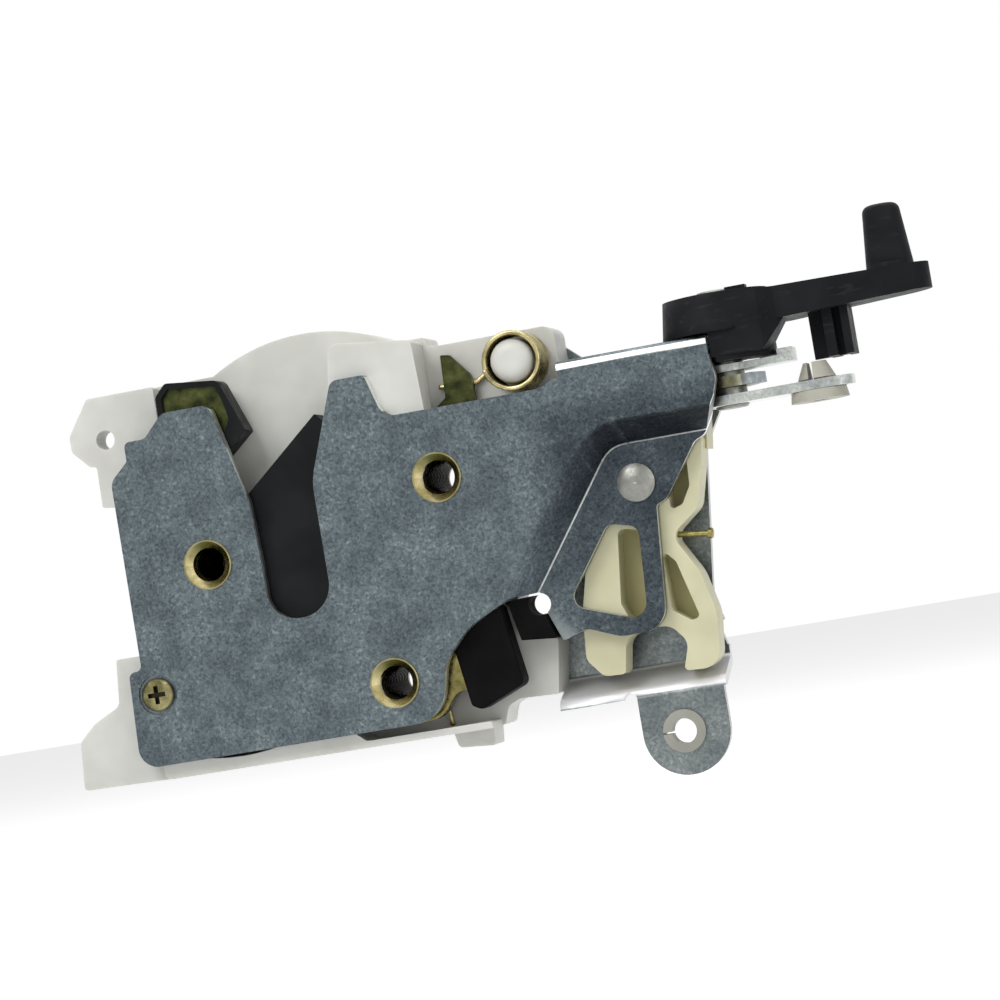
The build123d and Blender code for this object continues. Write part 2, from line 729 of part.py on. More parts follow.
with BuildPart() as housing:
    with BuildSketch(at_depth(FLOOR_FRONT)):
        with BuildLine():
            rounded(CASE_OUTLINE)
        make_face()
        with Locations(ARCH_CENTRE):
            Circle(ARCH_R)
    extrude(amount=-(CASE_BACK - FLOOR_FRONT))
    with BuildSketch(at_depth(PLATE_T)):
        with BuildLine():
            rounded(RIM_OUTLINE)
        make_face()
        with Locations(SCREW_SPOT):
            Circle(SCREW_BOSS_R + 0.2)
    extrude(amount=-(FLOOR_FRONT - PLATE_T))
    with BuildSketch(at_depth(EAR_FRONT)):
        with BuildLine():
            rounded(EAR_OUTLINE)
        make_face()
    extrude(amount=-(FLOOR_FRONT + FLOOR_T - EAR_FRONT))
    with BuildSketch(at_depth(FOOT_FRONT)):
        with BuildLine():
            rounded(FOOT_OUTLINE)
        make_face()
    extrude(amount=-(FLOOR_FRONT + FLOOR_T - FOOT_FRONT))
    # Pocket for the claw and the pawl, with the screw's boss left standing
    with BuildSketch(at_depth(PLATE_T)):
        with BuildLine():
            rounded(CATCH_POCKET)
        make_face()
        with Locations(CLAW_PIVOT):
            Circle(CLAW_SWEEP_R)
        with BuildLine():
            Polyline((-60, -60), (-60, 60), (-15.2, 60), (-15.2, -60), close=True)
        make_face(mode=Mode.SUBTRACT)
        with BuildLine():
            Polyline((-60, 23.8), (-60, 60), (-8.0, 60), (-8.0, 23.8), close=True)
        make_face(mode=Mode.SUBTRACT)
        with Locations(SCREW_SPOT):
            Circle(SCREW_BOSS_R, mode=Mode.SUBTRACT)
    extrude(amount=-(FLOOR_FRONT - PLATE_T), mode=Mode.SUBTRACT)
    with BuildSketch(at_depth(PLATE_T)):
        with Locations(UPPER_PIVOT):
            Circle(COLLAR_CLEAR_R)
    extrude(amount=-(FLOOR_FRONT - PLATE_T), mode=Mode.SUBTRACT)
    with BuildSketch(at_depth(CATCH_BACK + 0.2)):
        with BuildLine():
            rounded(ARM_POCKET)
        make_face()
    extrude(amount=-(FLOOR_FRONT - CATCH_BACK - 0.2), mode=Mode.SUBTRACT)
    # Cavity behind the floor, then its ribs and bosses
    with BuildSketch(at_depth(FLOOR_FRONT + FLOOR_T)):
        with BuildLine():
            rounded(CASE_OUTLINE)
        make_face()
        with Locations(ARCH_CENTRE):
            Circle(ARCH_R)
        offset(amount=-WALL)
    extrude(amount=-(CASE_BACK - FLOOR_FRONT - FLOOR_T), mode=Mode.SUBTRACT)
    with BuildSketch(at_depth(FLOOR_FRONT + FLOOR_T)):
        with Locations(CLAW_PIVOT, UPPER_PIVOT, PAWL_PIVOT):
            Circle(BOSS_R)
        with Locations(*BACK_SCREW_SPOTS):
            Circle(SCREW_BOSS_R)
        with Locations((23.0, -14.5)):
            Rectangle(77.0, RIB_T)
        with Locations((29.0, 24.0)):
            Rectangle(90.0, RIB_T)
        with Locations((20.0, 0.0), (66.0, 20.0)):
            Rectangle(RIB_T, 30.0)
    extrude(amount=-(CASE_BACK - FLOOR_FRONT - FLOOR_T))
    # Holes right through, and the blind ones
    with BuildSketch(at_depth(PLATE_T)):
        with Locations(CLAW_PIVOT, UPPER_PIVOT, PAWL_PIVOT):
            Circle(BUSH_HOLE_R)
        with Locations(EAR_HOLE):
            Circle(EAR_HOLE_R)
        with Locations(SIGHT_HOLE):
            Circle(SIGHT_HOLE_R)
    extrude(amount=-(CASE_BACK - PLATE_T), mode=Mode.SUBTRACT)
    with BuildSketch(at_depth(PLATE_T)):
        with Locations(SCREW_SPOT):
            Circle(SCREW_R)
    extrude(amount=-8.0, mode=Mode.SUBTRACT)
    with BuildSketch(at_depth(FLOOR_FRONT + FLOOR_T)):
        with Locations(*BACK_SCREW_SPOTS):
            Circle(SCREW_R)
    extrude(amount=-(CASE_BACK - FLOOR_FRONT - FLOOR_T), mode=Mode.SUBTRACT)
    # Slot in the left wall for the claw's bumper
    bumper_low, bumper_high = BUMPER_Z
    with BuildSketch(at_depth(BUMPER_FRONT)):
        with Locations((-16.0, (bumper_low + bumper_high) / 2)):
            Rectangle(2 * WALL, bumper_high - bumper_low)
    extrude(amount=-(FLOOR_FRONT - BUMPER_FRONT), mode=Mode.SUBTRACT)
    # Peg for the release spring
    with BuildSketch(at_depth(FLOOR_FRONT)):
        with Locations(PEG_CENTRE):
            Circle(PEG_R)
    extrude(amount=FLOOR_FRONT - PEG_FRONT)
    fillet(housing.faces().filter_by(Plane.XZ).sort_by(Axis.Y)[0].edges(), radius=PEG_DOME)
    # Small block under the right end of the case
    with BuildSketch(at_depth(8.0)):
        with BuildLine():
            rounded([(42.6, -41.0, 0), (51.2, -41.0, 0), (50.8, -45.2, 0.5), (43.4, -44.6, 1.0)])
        make_face()
    extrude(amount=-8.0)
save(housing.part, "housing")

# Rubber pieces
with BuildPart() as claw_bumper:
    with BuildSketch(at_depth(BUMPER_FRONT)):
        with Locations((-16.4, (bumper_low + bumper_high) / 2)):
            Rectangle(3.4, bumper_high - bumper_low)
    extrude(amount=-(FLOOR_FRONT - BUMPER_FRONT))
    fillet(claw_bumper.edges().filter_by(Axis.Y).sort_by(Axis.X)[:2], radius=1.0)
save(claw_bumper.part, "claw_bumper")

with BuildPart() as pawl_stop:
    with BuildSketch(at_depth(STOP_FRONT)):
        with BuildLine():
            rounded(STOP_SHAPE)
        make_face()
        with Locations(NOTCH_SPOT):
            Circle(NOTCH_HOLE_R, mode=Mode.SUBTRACT)
    extrude(amount=-(FLOOR_FRONT - STOP_FRONT))
    with BuildSketch(at_depth(CATCH_FRONT)):
        with BuildLine():
            rounded(PAWL_TAIL)
        make_face()
        offset(amount=STOP_PLAY)
    extrude(amount=-(CATCH_BACK + STOP_PLAY - CATCH_FRONT), mode=Mode.SUBTRACT)
save(pawl_stop.part, "pawl_stop")


def screw(x, z, head_y, head_r, head_t, shank_r, length):
    """Pan head screw driven along the depth, its head's near face at head_y, sign of length its way."""
    way = 1 if length > 0 else -1
    with BuildPart() as piece:
        with BuildSketch(at_depth(head_y)):
            with Locations((x, z)):
                Circle(head_r)
        extrude(amount=-head_t * way)
        chamfer(piece.faces().sort_by(Axis.Y)[0 if way > 0 else -1].edges(), length=head_t * 0.35)
        with BuildSketch(at_depth(head_y + head_t * way)):
            with Locations((x, z)):
                Circle(shank_r)
        extrude(amount=-length)
        with BuildSketch(at_depth(head_y)):
            with Locations((x, z)):
                Rectangle(head_r * 1.1, head_r * 0.28)
                Rectangle(head_r * 0.28, head_r * 1.1)
        extrude(amount=-head_t * 0.6 * way, mode=Mode.SUBTRACT)
    return piece.part


save(screw(*SCREW_SPOT, -0.9, 3.35, 1.9, SCREW_R, 8.0), "housing_screw")

# Bracket behind the case, with a ledge that slopes forward to the mounting tab
LEDGE_LEFT = 64.4
LEDGE_RIGHT = 98.4
LEDGE_TOP = -36.0
LEDGE_BOTTOM = -39.9
LIP_BOTTOM = -40.7
CORNER_R = 1.4
TAB_LEFT = 80.2
TAB_RIGHT = 97.9
BRACKET_OUTLINE = [
    (-10.0, -12.0, 6.0),
    (-10.0, 9.0, 7.0),
    (14.0, 18.0, 10.0),
    (40.0, 31.0, 10.0),
    (74.0, 33.0, 5.0),
    (80.0, FLANGE_TOP, 4.0),
    (FLANGE_RIGHT - 0.6, FLANGE_TOP, 2.0),
    (106.0, 16.0, 4.0),
    (100.6, 7.0, 4.0),
    (97.4, -19.0, 2.0),
    (96.9, -23.3, 0.5),
    (98.3, -28.0, 0.2),
    (96.9, -28.2, 0.2),
    (LEDGE_RIGHT, -34.0, 0),
    (LEDGE_LEFT, -34.0, 0),
    (57.0, -37.0, 4.0),
    (30.0, -40.0, 8.0),
]
with BuildPart() as back_plate:
    with BuildSketch(at_depth(CASE_BACK)):
        with BuildLine():
            rounded(BRACKET_OUTLINE)
        make_face()
        with Locations(UPPER_PIVOT, PAWL_PIVOT):
            Circle(REAR_NECK_R, mode=Mode.SUBTRACT)
        with Locations(*BACK_SCREW_SPOTS):
            Circle(SCREW_R, mode=Mode.SUBTRACT)
        with Locations(LINK_PIVOT):
            Circle(6.5, mode=Mode.SUBTRACT)
        with Locations(SIGHT_HOLE):
            Circle(SIGHT_HOLE_R + 0.6, mode=Mode.SUBTRACT)
        with Locations((20.0, -8.0)):
            SlotCenterToCenter(10.0, 7.0, mode=Mode.SUBTRACT)
    extrude(amount=-BRACKET_T)
    with BuildSketch(Plane.YZ.offset(LEDGE_LEFT)):
        with BuildLine() as ledge_line:
            middle_y = CASE_BACK + BRACKET_T / 2
            tab_y = TAB_FRONT + BRACKET_T / 2
            FilletPolyline(
                (middle_y, -33.0),
                (middle_y, LEDGE_TOP),
                (tab_y, LEDGE_BOTTOM),
                (tab_y, -60.0),
                radius=BRACKET_T,
            )
        trace(line_width=BRACKET_T)
    extrude(amount=LEDGE_RIGHT - LEDGE_LEFT)
    # What stays of the ledge's front edge: a lip on the left, the tab with its round end on the right
    with BuildSketch(at_depth(0)):
        with BuildLine():
            Polyline(
                (LEDGE_LEFT - 4.0, -80.0),
                (LEDGE_LEFT - 4.0, LIP_BOTTOM),
                (TAB_LEFT, LIP_BOTTOM),
                (TAB_LEFT, -80.0),
                close=True,
            )
        make_face()
        with Locations((TAB_LEFT - CORNER_R, LIP_BOTTOM)):
            Circle(CORNER_R)
        with BuildLine():
            Polyline(
                (TAB_RIGHT, -80.0),
                (TAB_RIGHT, LIP_BOTTOM),
                (LEDGE_RIGHT + 4.0, LIP_BOTTOM),
                (LEDGE_RIGHT + 4.0, -80.0),
                close=True,
            )
        make_face()
        with BuildLine():
            Polyline(
                (TAB_LEFT, -80.0),
                (TAB_LEFT, TAB_HOLE[1]),
                (TAB_RIGHT, TAB_HOLE[1]),
                (TAB_RIGHT, -80.0),
                close=True,
            )
        make_face()
        with Locations(((TAB_LEFT + TAB_RIGHT) / 2, TAB_HOLE[1])):
            Circle((TAB_RIGHT - TAB_LEFT) / 2, mode=Mode.SUBTRACT)
        with Locations(TAB_HOLE):
            Circle(GROMMET_R)
    extrude(amount=-CASE_BACK, mode=Mode.SUBTRACT)
save(back_plate.part, "back_plate")

with BuildPart() as back_screws:
    for spot_x, spot_z in BACK_SCREW_SPOTS:
        add(screw(spot_x, spot_z, CASE_BACK + BRACKET_T + 1.8, 3.4, 1.8, SCREW_R, -9.0))
save(back_screws.part, "back_screws")

LIP_R = GROMMET_R + 0.4
LIP_T = 0.7
with BuildPart() as tab_grommet:
    with BuildSketch(at_depth(TAB_FRONT - LIP_T)):
        with Locations(TAB_HOLE):
            Circle(LIP_R)
    extrude(amount=-LIP_T)
    with BuildSketch(at_depth(TAB_FRONT)):
        with Locations(TAB_HOLE):
            Circle(GROMMET_R)
    extrude(amount=-BRACKET_T)
    with BuildSketch(at_depth(TAB_FRONT + BRACKET_T)):
        with Locations(TAB_HOLE):
            Circle(LIP_R)
    extrude(amount=-LIP_T)
    with BuildSketch(at_depth(TAB_FRONT - LIP_T)):
        with Locations(TAB_HOLE):
            Circle(GROMMET_BORE_R)
        with Locations((TAB_HOLE[0] - GROMMET_R, TAB_HOLE[1])):
            Rectangle(2 * GROMMET_R, 0.4)
    extrude(amount=-(BRACKET_T + 2 * LIP_T), mode=Mode.SUBTRACT)
save(tab_grommet.part, "tab_grommet")

# Nylon link on its rivet: a shell with a web at the back, and a fork on top for the lock lever's ball
LINK_OUTLINE = [
    (102.2, 9.4, 1.5),
    (100.9, 2.6, 8.0),
    (98.9, -5.0, 3.5),
    (92.8, -9.8, 2.4),
    (97.2, -17.6, 8.0),
    (99.2, -26.0, 9.0),
    (98.0, -37.0, 4.6),
    (90.8, -36.6, 0.8),
    (92.6, -31.0, 3.0),
    (89.6, -27.4, 3.5),
    (84.4, -27.0, 4.0),
    (80.2, -28.6, 3.0),
    (79.0, -35.4, 1.0),
    (74.6, -35.2, 2.5),
    (71.6, -31.4, 2.5),
    (72.4, -22.0, 5.0),
    (75.4, -10.0, 8.0),
    (78.6, 6.0, 8.0),
    (84.0, 9.4, 3.0),
]
RIVET_SHOULDER_R = 4.2
LINK_WALL = 1.6
LINK_WEB = 1.6
LINK_POCKETS = [
    [(93.8, 5.8, 0.8), (98.4, 7.2, 0.8), (98.0, -0.6, 1.0), (96.0, -4.0, 1.0), (93.4, -4.8, 0.8)],
    [(90.2, -12.0, 1.0), (92.8, -15.0, 1.0), (95.8, -26.6, 1.0), (94.0, -27.0, 0.8), (90.4, -24.4, 0.8)],
    [(82.2, -6.6, 1.2), (88.2, -8.0, 1.2), (88.0, -24.2, 1.0), (81.8, -25.0, 1.0), (80.4, -21.5, 1.0)],
]
LOBE_CUT = [(12.6, -38.4), (LINK_BACK + 1.0, -35.4), (LINK_BACK + 1.0, -38.4)]
link_x, link_z = LINK_PIVOT
ball_x = LEVER_PIVOT[0] + BALL_SPOT[0]
ball_y = LEVER_PIVOT[1] + BALL_SPOT[1]
FORK_GAP = 2 * (BALL_R + 0.3)
FORK_T = 1.6
FORK_LEAN = 7.7
FORK_RISE = 2.2
FORK_DIP = 4.3
FORK_ROOT = 6.0
FORK_FRONT = 14.2
FORK_BACK = 21.6

with BuildPart() as locking_link:
    with BuildSketch(at_depth(LINK_FRONT)):
        with BuildLine():
            rounded(LINK_OUTLINE)
        make_face()
    extrude(amount=-(LINK_BACK - LINK_FRONT))
    with BuildSketch(at_depth(LINK_FRONT)):
        for pocket in LINK_POCKETS:
            with BuildLine():
                rounded(pocket)
            make_face()
    extrude(amount=-(LINK_BACK - LINK_FRONT - LINK_WEB), mode=Mode.SUBTRACT)
    # The lobes are cut back at the rear to swing clear of the bracket's ledge.
    with BuildSketch(Plane.YZ):
        with BuildLine():
            Polyline(*LOBE_CUT, close=True)
        make_face()
    extrude(amount=FAR, mode=Mode.SUBTRACT)
    with BuildSketch(at_depth(FORK_FRONT)):
        with Locations(Location((ball_x, BALL_Z), -FORK_LEAN)):
            with Locations((0, (FORK_RISE - FORK_ROOT) / 2)):
                Rectangle(FORK_GAP + 2 * FORK_T, FORK_RISE + FORK_ROOT)
    extrude(amount=-(FORK_BACK - FORK_FRONT))
    with BuildSketch(at_depth(FORK_FRONT)):
        with Locations(Location((ball_x, BALL_Z), -FORK_LEAN)):
            with Locations((0, (FORK_RISE + 1.0 - FORK_DIP) / 2)):
                Rectangle(FORK_GAP, FORK_RISE + 1.0 + FORK_DIP)
    extrude(amount=-(FORK_BACK - FORK_FRONT), mode=Mode.SUBTRACT)
    with BuildSketch(at_depth(LINK_FRONT)):
        with Locations(LINK_PIVOT):
            Circle(RIVET_SHOULDER_R + RUNNING_FIT)
    extrude(amount=-(LINK_BACK - LINK_FRONT), mode=Mode.SUBTRACT)
    with BuildSketch(Plane(origin=(90.4, 12.6, -9.4), x_dir=(0, 1, 0), z_dir=(1, 0, -0.12))):
        Circle(0.6)
    extrude(amount=12.0, mode=Mode.SUBTRACT)
save(locking_link.part, "locking_link")

with BuildPart() as link_pin:
    with BuildSketch(Plane(origin=(90.4, 12.6, -9.4), x_dir=(0, 1, 0), z_dir=(1, 0, -0.12))):
        Circle(0.6)
    extrude(amount=9.4)
    with BuildSketch(Plane(origin=(90.4, 12.6, -9.4), x_dir=(0, 1, 0), z_dir=(1, 0, -0.12)).offset(9.4)):
        Circle(1.1)
    extrude(amount=1.0)
    fillet(link_pin.faces().sort_by(Axis.X)[-1].edges(), radius=0.4)
save(link_pin.part, "link_pin")

RIVET_HEAD_R = 3.8
RIVET_EDGE = 0.6
RIVET_DOME = 1.1
cap_r = (RIVET_HEAD_R ** 2 + RIVET_DOME ** 2) / (2 * RIVET_DOME)
cap_top = (link_x, JOGGLE - RIVET_EDGE - RIVET_DOME)
cap_rise = cap_r - (cap_r ** 2 - (RIVET_HEAD_R / 2) ** 2) ** 0.5
cap_middle = (link_x + RIVET_HEAD_R / 2, cap_top[1] + cap_rise)
with BuildPart() as link_rivet:
    with BuildSketch(Plane.XY.offset(link_z)):
        with BuildLine():
            Polyline(
                (link_x + RIVET_SHOULDER_R + 1.2, LINK_BACK + 1.5),
                (link_x + RIVET_SHOULDER_R + 1.2, LINK_BACK + 0.3),
                (link_x + RIVET_SHOULDER_R, LINK_BACK + 0.3),
                (link_x + RIVET_SHOULDER_R, JOGGLE + PLATE_T),
                (link_x + RIVET_R, JOGGLE + PLATE_T),
                (link_x + RIVET_R, JOGGLE),
                (link_x + RIVET_HEAD_R, JOGGLE),
                (link_x + RIVET_HEAD_R, JOGGLE - RIVET_EDGE),
            )
            ThreePointArc((link_x + RIVET_HEAD_R, JOGGLE - RIVET_EDGE), cap_middle, cap_top)
            Line(cap_top, (link_x, LINK_BACK + 1.5))
            Line((link_x, LINK_BACK + 1.5), (link_x + RIVET_SHOULDER_R + 1.2, LINK_BACK + 1.5))
        make_face()
    revolve(axis=Axis((link_x, 0, link_z), (0, 1, 0)), revolution_arc=360)
save(link_rivet.part, "link_rivet")

# Levers on the upright rivet in the flange
lever_x, lever_y = LEVER_PIVOT
LEVER_BORE_R = RIVET_R + RUNNING_FIT
HUB_R = 6.0
LUG_R = 5.2
SKIRT_INNER_R = 8.0
SKIRT_FROM = -91.0
SKIRT_TO = 40.0
ARM_BOTTOM = 28.6
ARM_TOP = 34.9
ARM_TIP_R = 5.0
ARM_RISE = 1.3
DRUM_FOOT_R = 11.6
DRUM_TAPER = 8.5
BLOCK_FRONT_RUN = 9.5
BLOCK_REACH = 13.6
BLOCK_BOTTOM = 23.0
BLOCK_FRONT = 1.0
BLOCK_PLAN = [
    (lever_x - 1.0, BLOCK_FRONT),
    (lever_x + BLOCK_FRONT_RUN, BLOCK_FRONT),
    (lever_x + BLOCK_REACH, BLOCK_FRONT + 5.0),
    (lever_x + BLOCK_REACH, lever_y),
    (lever_x - 1.0, lever_y),
]
PEG_UP = (lever_x + 35.0, 14.0)
PEG_UP_R = 4.75
PEG_UP_TOP = 47.6
PEG_FLAT = 3.3
PEG_DOWN = (lever_x + 21.6, 13.2)
PEG_DOWN_BOTTOM = 19.6


def sector(inner_r, outer_r, start, stop):
    """Ring sector about the levers' pivot between two angles in degrees."""
    middle = (start + stop) / 2
    a, b = polar(inner_r, start, LEVER_PIVOT), polar(outer_r, start, LEVER_PIVOT)
    c, d = polar(outer_r, stop, LEVER_PIVOT), polar(inner_r, stop, LEVER_PIVOT)
    Line(a, b)
    ThreePointArc(b, polar(outer_r, middle, LEVER_PIVOT), c)
    Line(c, d)
    ThreePointArc(d, polar(inner_r, middle, LEVER_PIVOT), a)


def lever_corners(tip, hub_r, tip_r):
    """Four corners of the straight run between a lever's hub and its round tip."""
    hub, end = Vector(*LEVER_PIVOT), Vector(*tip)
    side = (end - hub).normalized().rotate(Axis.Z, 90)
    return [hub + side * hub_r, end + side * tip_r, end - side * tip_r, hub - side * hub_r]


with BuildPart() as lock_lever:
    with BuildSketch(Plane.XY.offset(DRUM_BOTTOM)):
        with Locations(LEVER_PIVOT):
            Circle(DRUM_FOOT_R)
    extrude(amount=DRUM_TOP - DRUM_BOTTOM, taper=DRUM_TAPER)
    with BuildSketch(Plane.XY.offset(ARM_BOTTOM)):
        with BuildLine():
            Polyline(*lever_corners(ARM_END, 9.0, ARM_TIP_R), close=True)
        make_face()
        with Locations(ARM_END):
            Circle(ARM_TIP_R)
    extrude(amount=ARM_TOP - ARM_BOTTOM)
    # Flat front of the hub, with a facet at its right and an underside that slants up to the arm
    with BuildSketch(Plane.XY.offset(BLOCK_BOTTOM)):
        with BuildLine():
            Polyline(*BLOCK_PLAN, close=True)
        make_face()
        with Locations(LEVER_PIVOT):
            Circle(SKIRT_INNER_R, mode=Mode.SUBTRACT)
    extrude(amount=DRUM_BOTTOM - BLOCK_BOTTOM)
    with BuildSketch(Plane.XY.offset(DRUM_BOTTOM)):
        with BuildLine():
            Polyline(*BLOCK_PLAN, close=True)
        make_face()
    extrude(amount=ARM_TOP - DRUM_BOTTOM)
    with BuildSketch(Plane.XZ):
        with BuildLine():
            Polyline(
                (lever_x + BLOCK_FRONT_RUN, BLOCK_BOTTOM),
                (lever_x + BLOCK_REACH, ARM_BOTTOM),
                (ARM_END[0] + 2 * ARM_TIP_R, ARM_BOTTOM + ARM_RISE),
                (ARM_END[0] + 2 * ARM_TIP_R, BLOCK_BOTTOM),
                close=True,
            )
        make_face()
    extrude(amount=-2 * CASE_BACK, mode=Mode.SUBTRACT)
    # Skirt past the end of the flange, and the lug under it that carries the ball
    with BuildSketch(Plane.XY.offset(SKIRT_BOTTOM)):
        with BuildLine():
            sector(SKIRT_INNER_R, DRUM_R, SKIRT_FROM, SKIRT_TO)
        make_face()
    extrude(amount=DRUM_BOTTOM - SKIRT_BOTTOM)
    with BuildSketch(Plane.XY.offset(LUG_BOTTOM)):
        with BuildLine():
            sector(3.0, DRUM_R - 0.5, SKIRT_FROM + 25.0, SKIRT_TO)
        make_face()
        with Locations(LEVER_PIVOT):
            Circle(LUG_R)
        with BuildLine():
            Polyline(*lever_corners((ball_x, ball_y), 3.4, 1.7), close=True)
        make_face()
        with Locations((ball_x, ball_y)):
            Circle(1.7)
    extrude(amount=LUG_T)
    with BuildSketch(Plane.XY.offset(BALL_Z)):
        with Locations((ball_x, ball_y)):
            Circle(BALL_R - 0.4)
    extrude(amount=LUG_BOTTOM - BALL_Z)
    with Locations((ball_x, ball_y, BALL_Z)):
        Sphere(BALL_R)
    # Peg up with a rounded top, peg down
    with BuildSketch(Plane.XY.offset(ARM_TOP)):
        with Locations(PEG_UP):
            Circle(PEG_UP_R)
    extrude(amount=PEG_UP_TOP - ARM_TOP, taper=5.2)
    fillet(lock_lever.faces().filter_by(Plane.XY).sort_by(Axis.Z)[-1].edges(), radius=1.6)
    with BuildSketch(Plane.XY.offset(ARM_TOP + 1.0)):
        with Locations((PEG_UP[0], PEG_UP[1] - PEG_FLAT - PEG_UP_R / 2)):
            Rectangle(2 * PEG_UP_R, PEG_UP_R)
    extrude(amount=PEG_UP_TOP - ARM_TOP, mode=Mode.SUBTRACT)
    with BuildSketch(Plane.XY.offset(PEG_DOWN_BOTTOM)):
        with Locations(PEG_DOWN):
            Rectangle(8.0, 2.0)
            Rectangle(2.0, 7.6)
            with Locations((3.4, 0)):
                Rectangle(1.6, 7.6)
    extrude(amount=ARM_BOTTOM + ARM_RISE - PEG_DOWN_BOTTOM)
    with BuildSketch(Plane.XY.offset(LUG_BOTTOM)):
        with Locations(LEVER_PIVOT):
            Circle(LEVER_BORE_R)
    extrude(amount=DRUM_TOP - LUG_BOTTOM + 5.0, mode=Mode.SUBTRACT)
    with BuildSketch(Plane.XY.offset(DRUM_TOP)):
        with Locations((lever_x + 5.3, lever_y - 5.8)):
            Rectangle(4.0, 3.0)
    extrude(amount=0.7)
save(lock_lever.part, "lock_lever")

OUTSIDE_TIP = (lever_x + 20.6, 10.0)
OUTSIDE_TIP_R = 4.4
INSIDE_TIP = (lever_x - 17.0, 6.0)
INSIDE_TIP_R = 2.6
INSIDE_HEEL = (lever_x + 6.4, 9.0)
STOP_TIP = (lever_x + 13.4, 10.0)
with BuildPart() as outside_lever:
    with BuildSketch(Plane.XY.offset(OUTSIDE_Z)):
        with Locations(LEVER_PIVOT):
            Circle(HUB_R)
        with BuildLine():
            Polyline(*lever_corners(OUTSIDE_TIP, 5.6, OUTSIDE_TIP_R), close=True)
        make_face()
        with Locations(OUTSIDE_TIP):
            Circle(OUTSIDE_TIP_R)
        with Locations(LEVER_PIVOT):
            Circle(LEVER_BORE_R, mode=Mode.SUBTRACT)
        with Locations(CLIP_SPOT):
            Circle(CLIP_R + RUNNING_FIT, mode=Mode.SUBTRACT)
    extrude(amount=OUTSIDE_T)
save(outside_lever.part, "outside_lever")

with BuildPart() as inside_lever:
    with BuildSketch(Plane.XY.offset(INSIDE_Z)):
        with Locations(LEVER_PIVOT):
            Circle(HUB_R)
        with BuildLine():
            Polyline(*lever_corners(INSIDE_TIP, 4.6, INSIDE_TIP_R), close=True)
        make_face()
        with Locations(INSIDE_TIP):
            Circle(INSIDE_TIP_R)
        with BuildLine():
            Polyline(*lever_corners(INSIDE_HEEL, 4.6, 3.0), close=True)
        make_face()
        with Locations(LEVER_PIVOT):
            Circle(LEVER_BORE_R, mode=Mode.SUBTRACT)
    extrude(amount=INSIDE_T)
save(inside_lever.part, "inside_lever")

with BuildPart() as stop_plate:
    with BuildSketch(Plane.XY.offset(STOP_Z)):
        with Locations(LEVER_PIVOT):
            Circle(HUB_R)
        with BuildLine():
            Polyline(*lever_corners(STOP_TIP, 5.2, 3.4), close=True)
        make_face()
        with Locations(LEVER_PIVOT):
            Circle(RIVET_R, mode=Mode.SUBTRACT)
    extrude(amount=STOP_T)
    with BuildSketch(Plane.XY.offset(STOP_Z)):
        with Locations((STOP_TIP[0] - 0.9, STOP_TIP[1])):
            Rectangle(3.0, 6.0)
    extrude(amount=2.7)
save(stop_plate.part, "stop_plate")

WASHER_R = 3.4
with BuildPart() as lever_washers:
    for low, high in (
        (OUTSIDE_Z + OUTSIDE_T + 0.05, INSIDE_Z - 0.05),
        (INSIDE_Z + INSIDE_T + 0.05, STOP_Z),
        (STOP_Z + STOP_T, LUG_BOTTOM - 0.05),
    ):
        with BuildSketch(Plane.XY.offset(low)):
            with Locations(LEVER_PIVOT):
                Circle(WASHER_R)
                Circle(RIVET_R, mode=Mode.SUBTRACT)
        extrude(amount=high - low)
save(lever_washers.part, "lever_washers")

RIVET_TOP = DRUM_TOP + 0.1
with BuildPart() as lever_rivet:
    with BuildSketch(Plane.XZ.offset(-lever_y)):
        with BuildLine():
            Polyline(
                (lever_x, RIVET_TOP + 1.1),
                (lever_x + 3.4, RIVET_TOP + 0.8),
                (lever_x + 4.2, RIVET_TOP),
                (lever_x + RIVET_R, RIVET_TOP),
                (lever_x + RIVET_R, OUTSIDE_Z - 0.1),
                (lever_x + WASHER_R, OUTSIDE_Z - 0.1),
                (lever_x + WASHER_R - 0.4, OUTSIDE_Z - 0.6),
                (lever_x, OUTSIDE_Z - 0.6),
                close=True,
            )
        make_face()
    revolve(axis=Axis((lever_x, lever_y, 0), (0, 0, 1)), revolution_arc=360)
save(lever_rivet.part, "lever_rivet")

CLIP_BORE_R = 1.6
CLIP_BOTTOM = 11.5
CLIP_TOP = 19.1
clip_x, clip_y = CLIP_SPOT
with BuildPart() as rod_clip:
    with BuildSketch(Plane.XZ.offset(-clip_y)):
        with BuildLine():
            Polyline(
                (clip_x + CLIP_BORE_R, CLIP_BOTTOM),
                (clip_x + 5.8, CLIP_BOTTOM),
                (clip_x + 5.5, OUTSIDE_Z - 0.1),
                (clip_x + CLIP_R, OUTSIDE_Z - 0.1),
                (clip_x + CLIP_R, OUTSIDE_Z + OUTSIDE_T + 0.1),
                (clip_x + 3.8, OUTSIDE_Z + OUTSIDE_T + 0.3),
                (clip_x + 3.4, OUTSIDE_Z + OUTSIDE_T + 1.2),
                (clip_x + 2.3, CLIP_TOP),
                (clip_x + CLIP_BORE_R, CLIP_TOP),
                close=True,
            )
        make_face()
    revolve(axis=Axis((clip_x, clip_y, 0), (0, 0, 1)), revolution_arc=360)
    with BuildSketch(Plane.XY.offset(OUTSIDE_Z + OUTSIDE_T + 0.1)):
        with Locations((clip_x - 0.8, clip_y)):
            Rectangle(1.0, 10.0)
    extrude(amount=6.0, mode=Mode.SUBTRACT)
save(rod_clip.part, "rod_clip")
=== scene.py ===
"""Door latch actuator: plated sheet, nylon and rubber finishes on the CAD solids, cut threads in the
bushes, the wound release spring, and a studio with the photograph's view. Metres throughout, in the
frame of the CAD."""
import json
from math import cos, radians, sin

import bpy
import numpy as np
from mathutils import Matrix, Vector


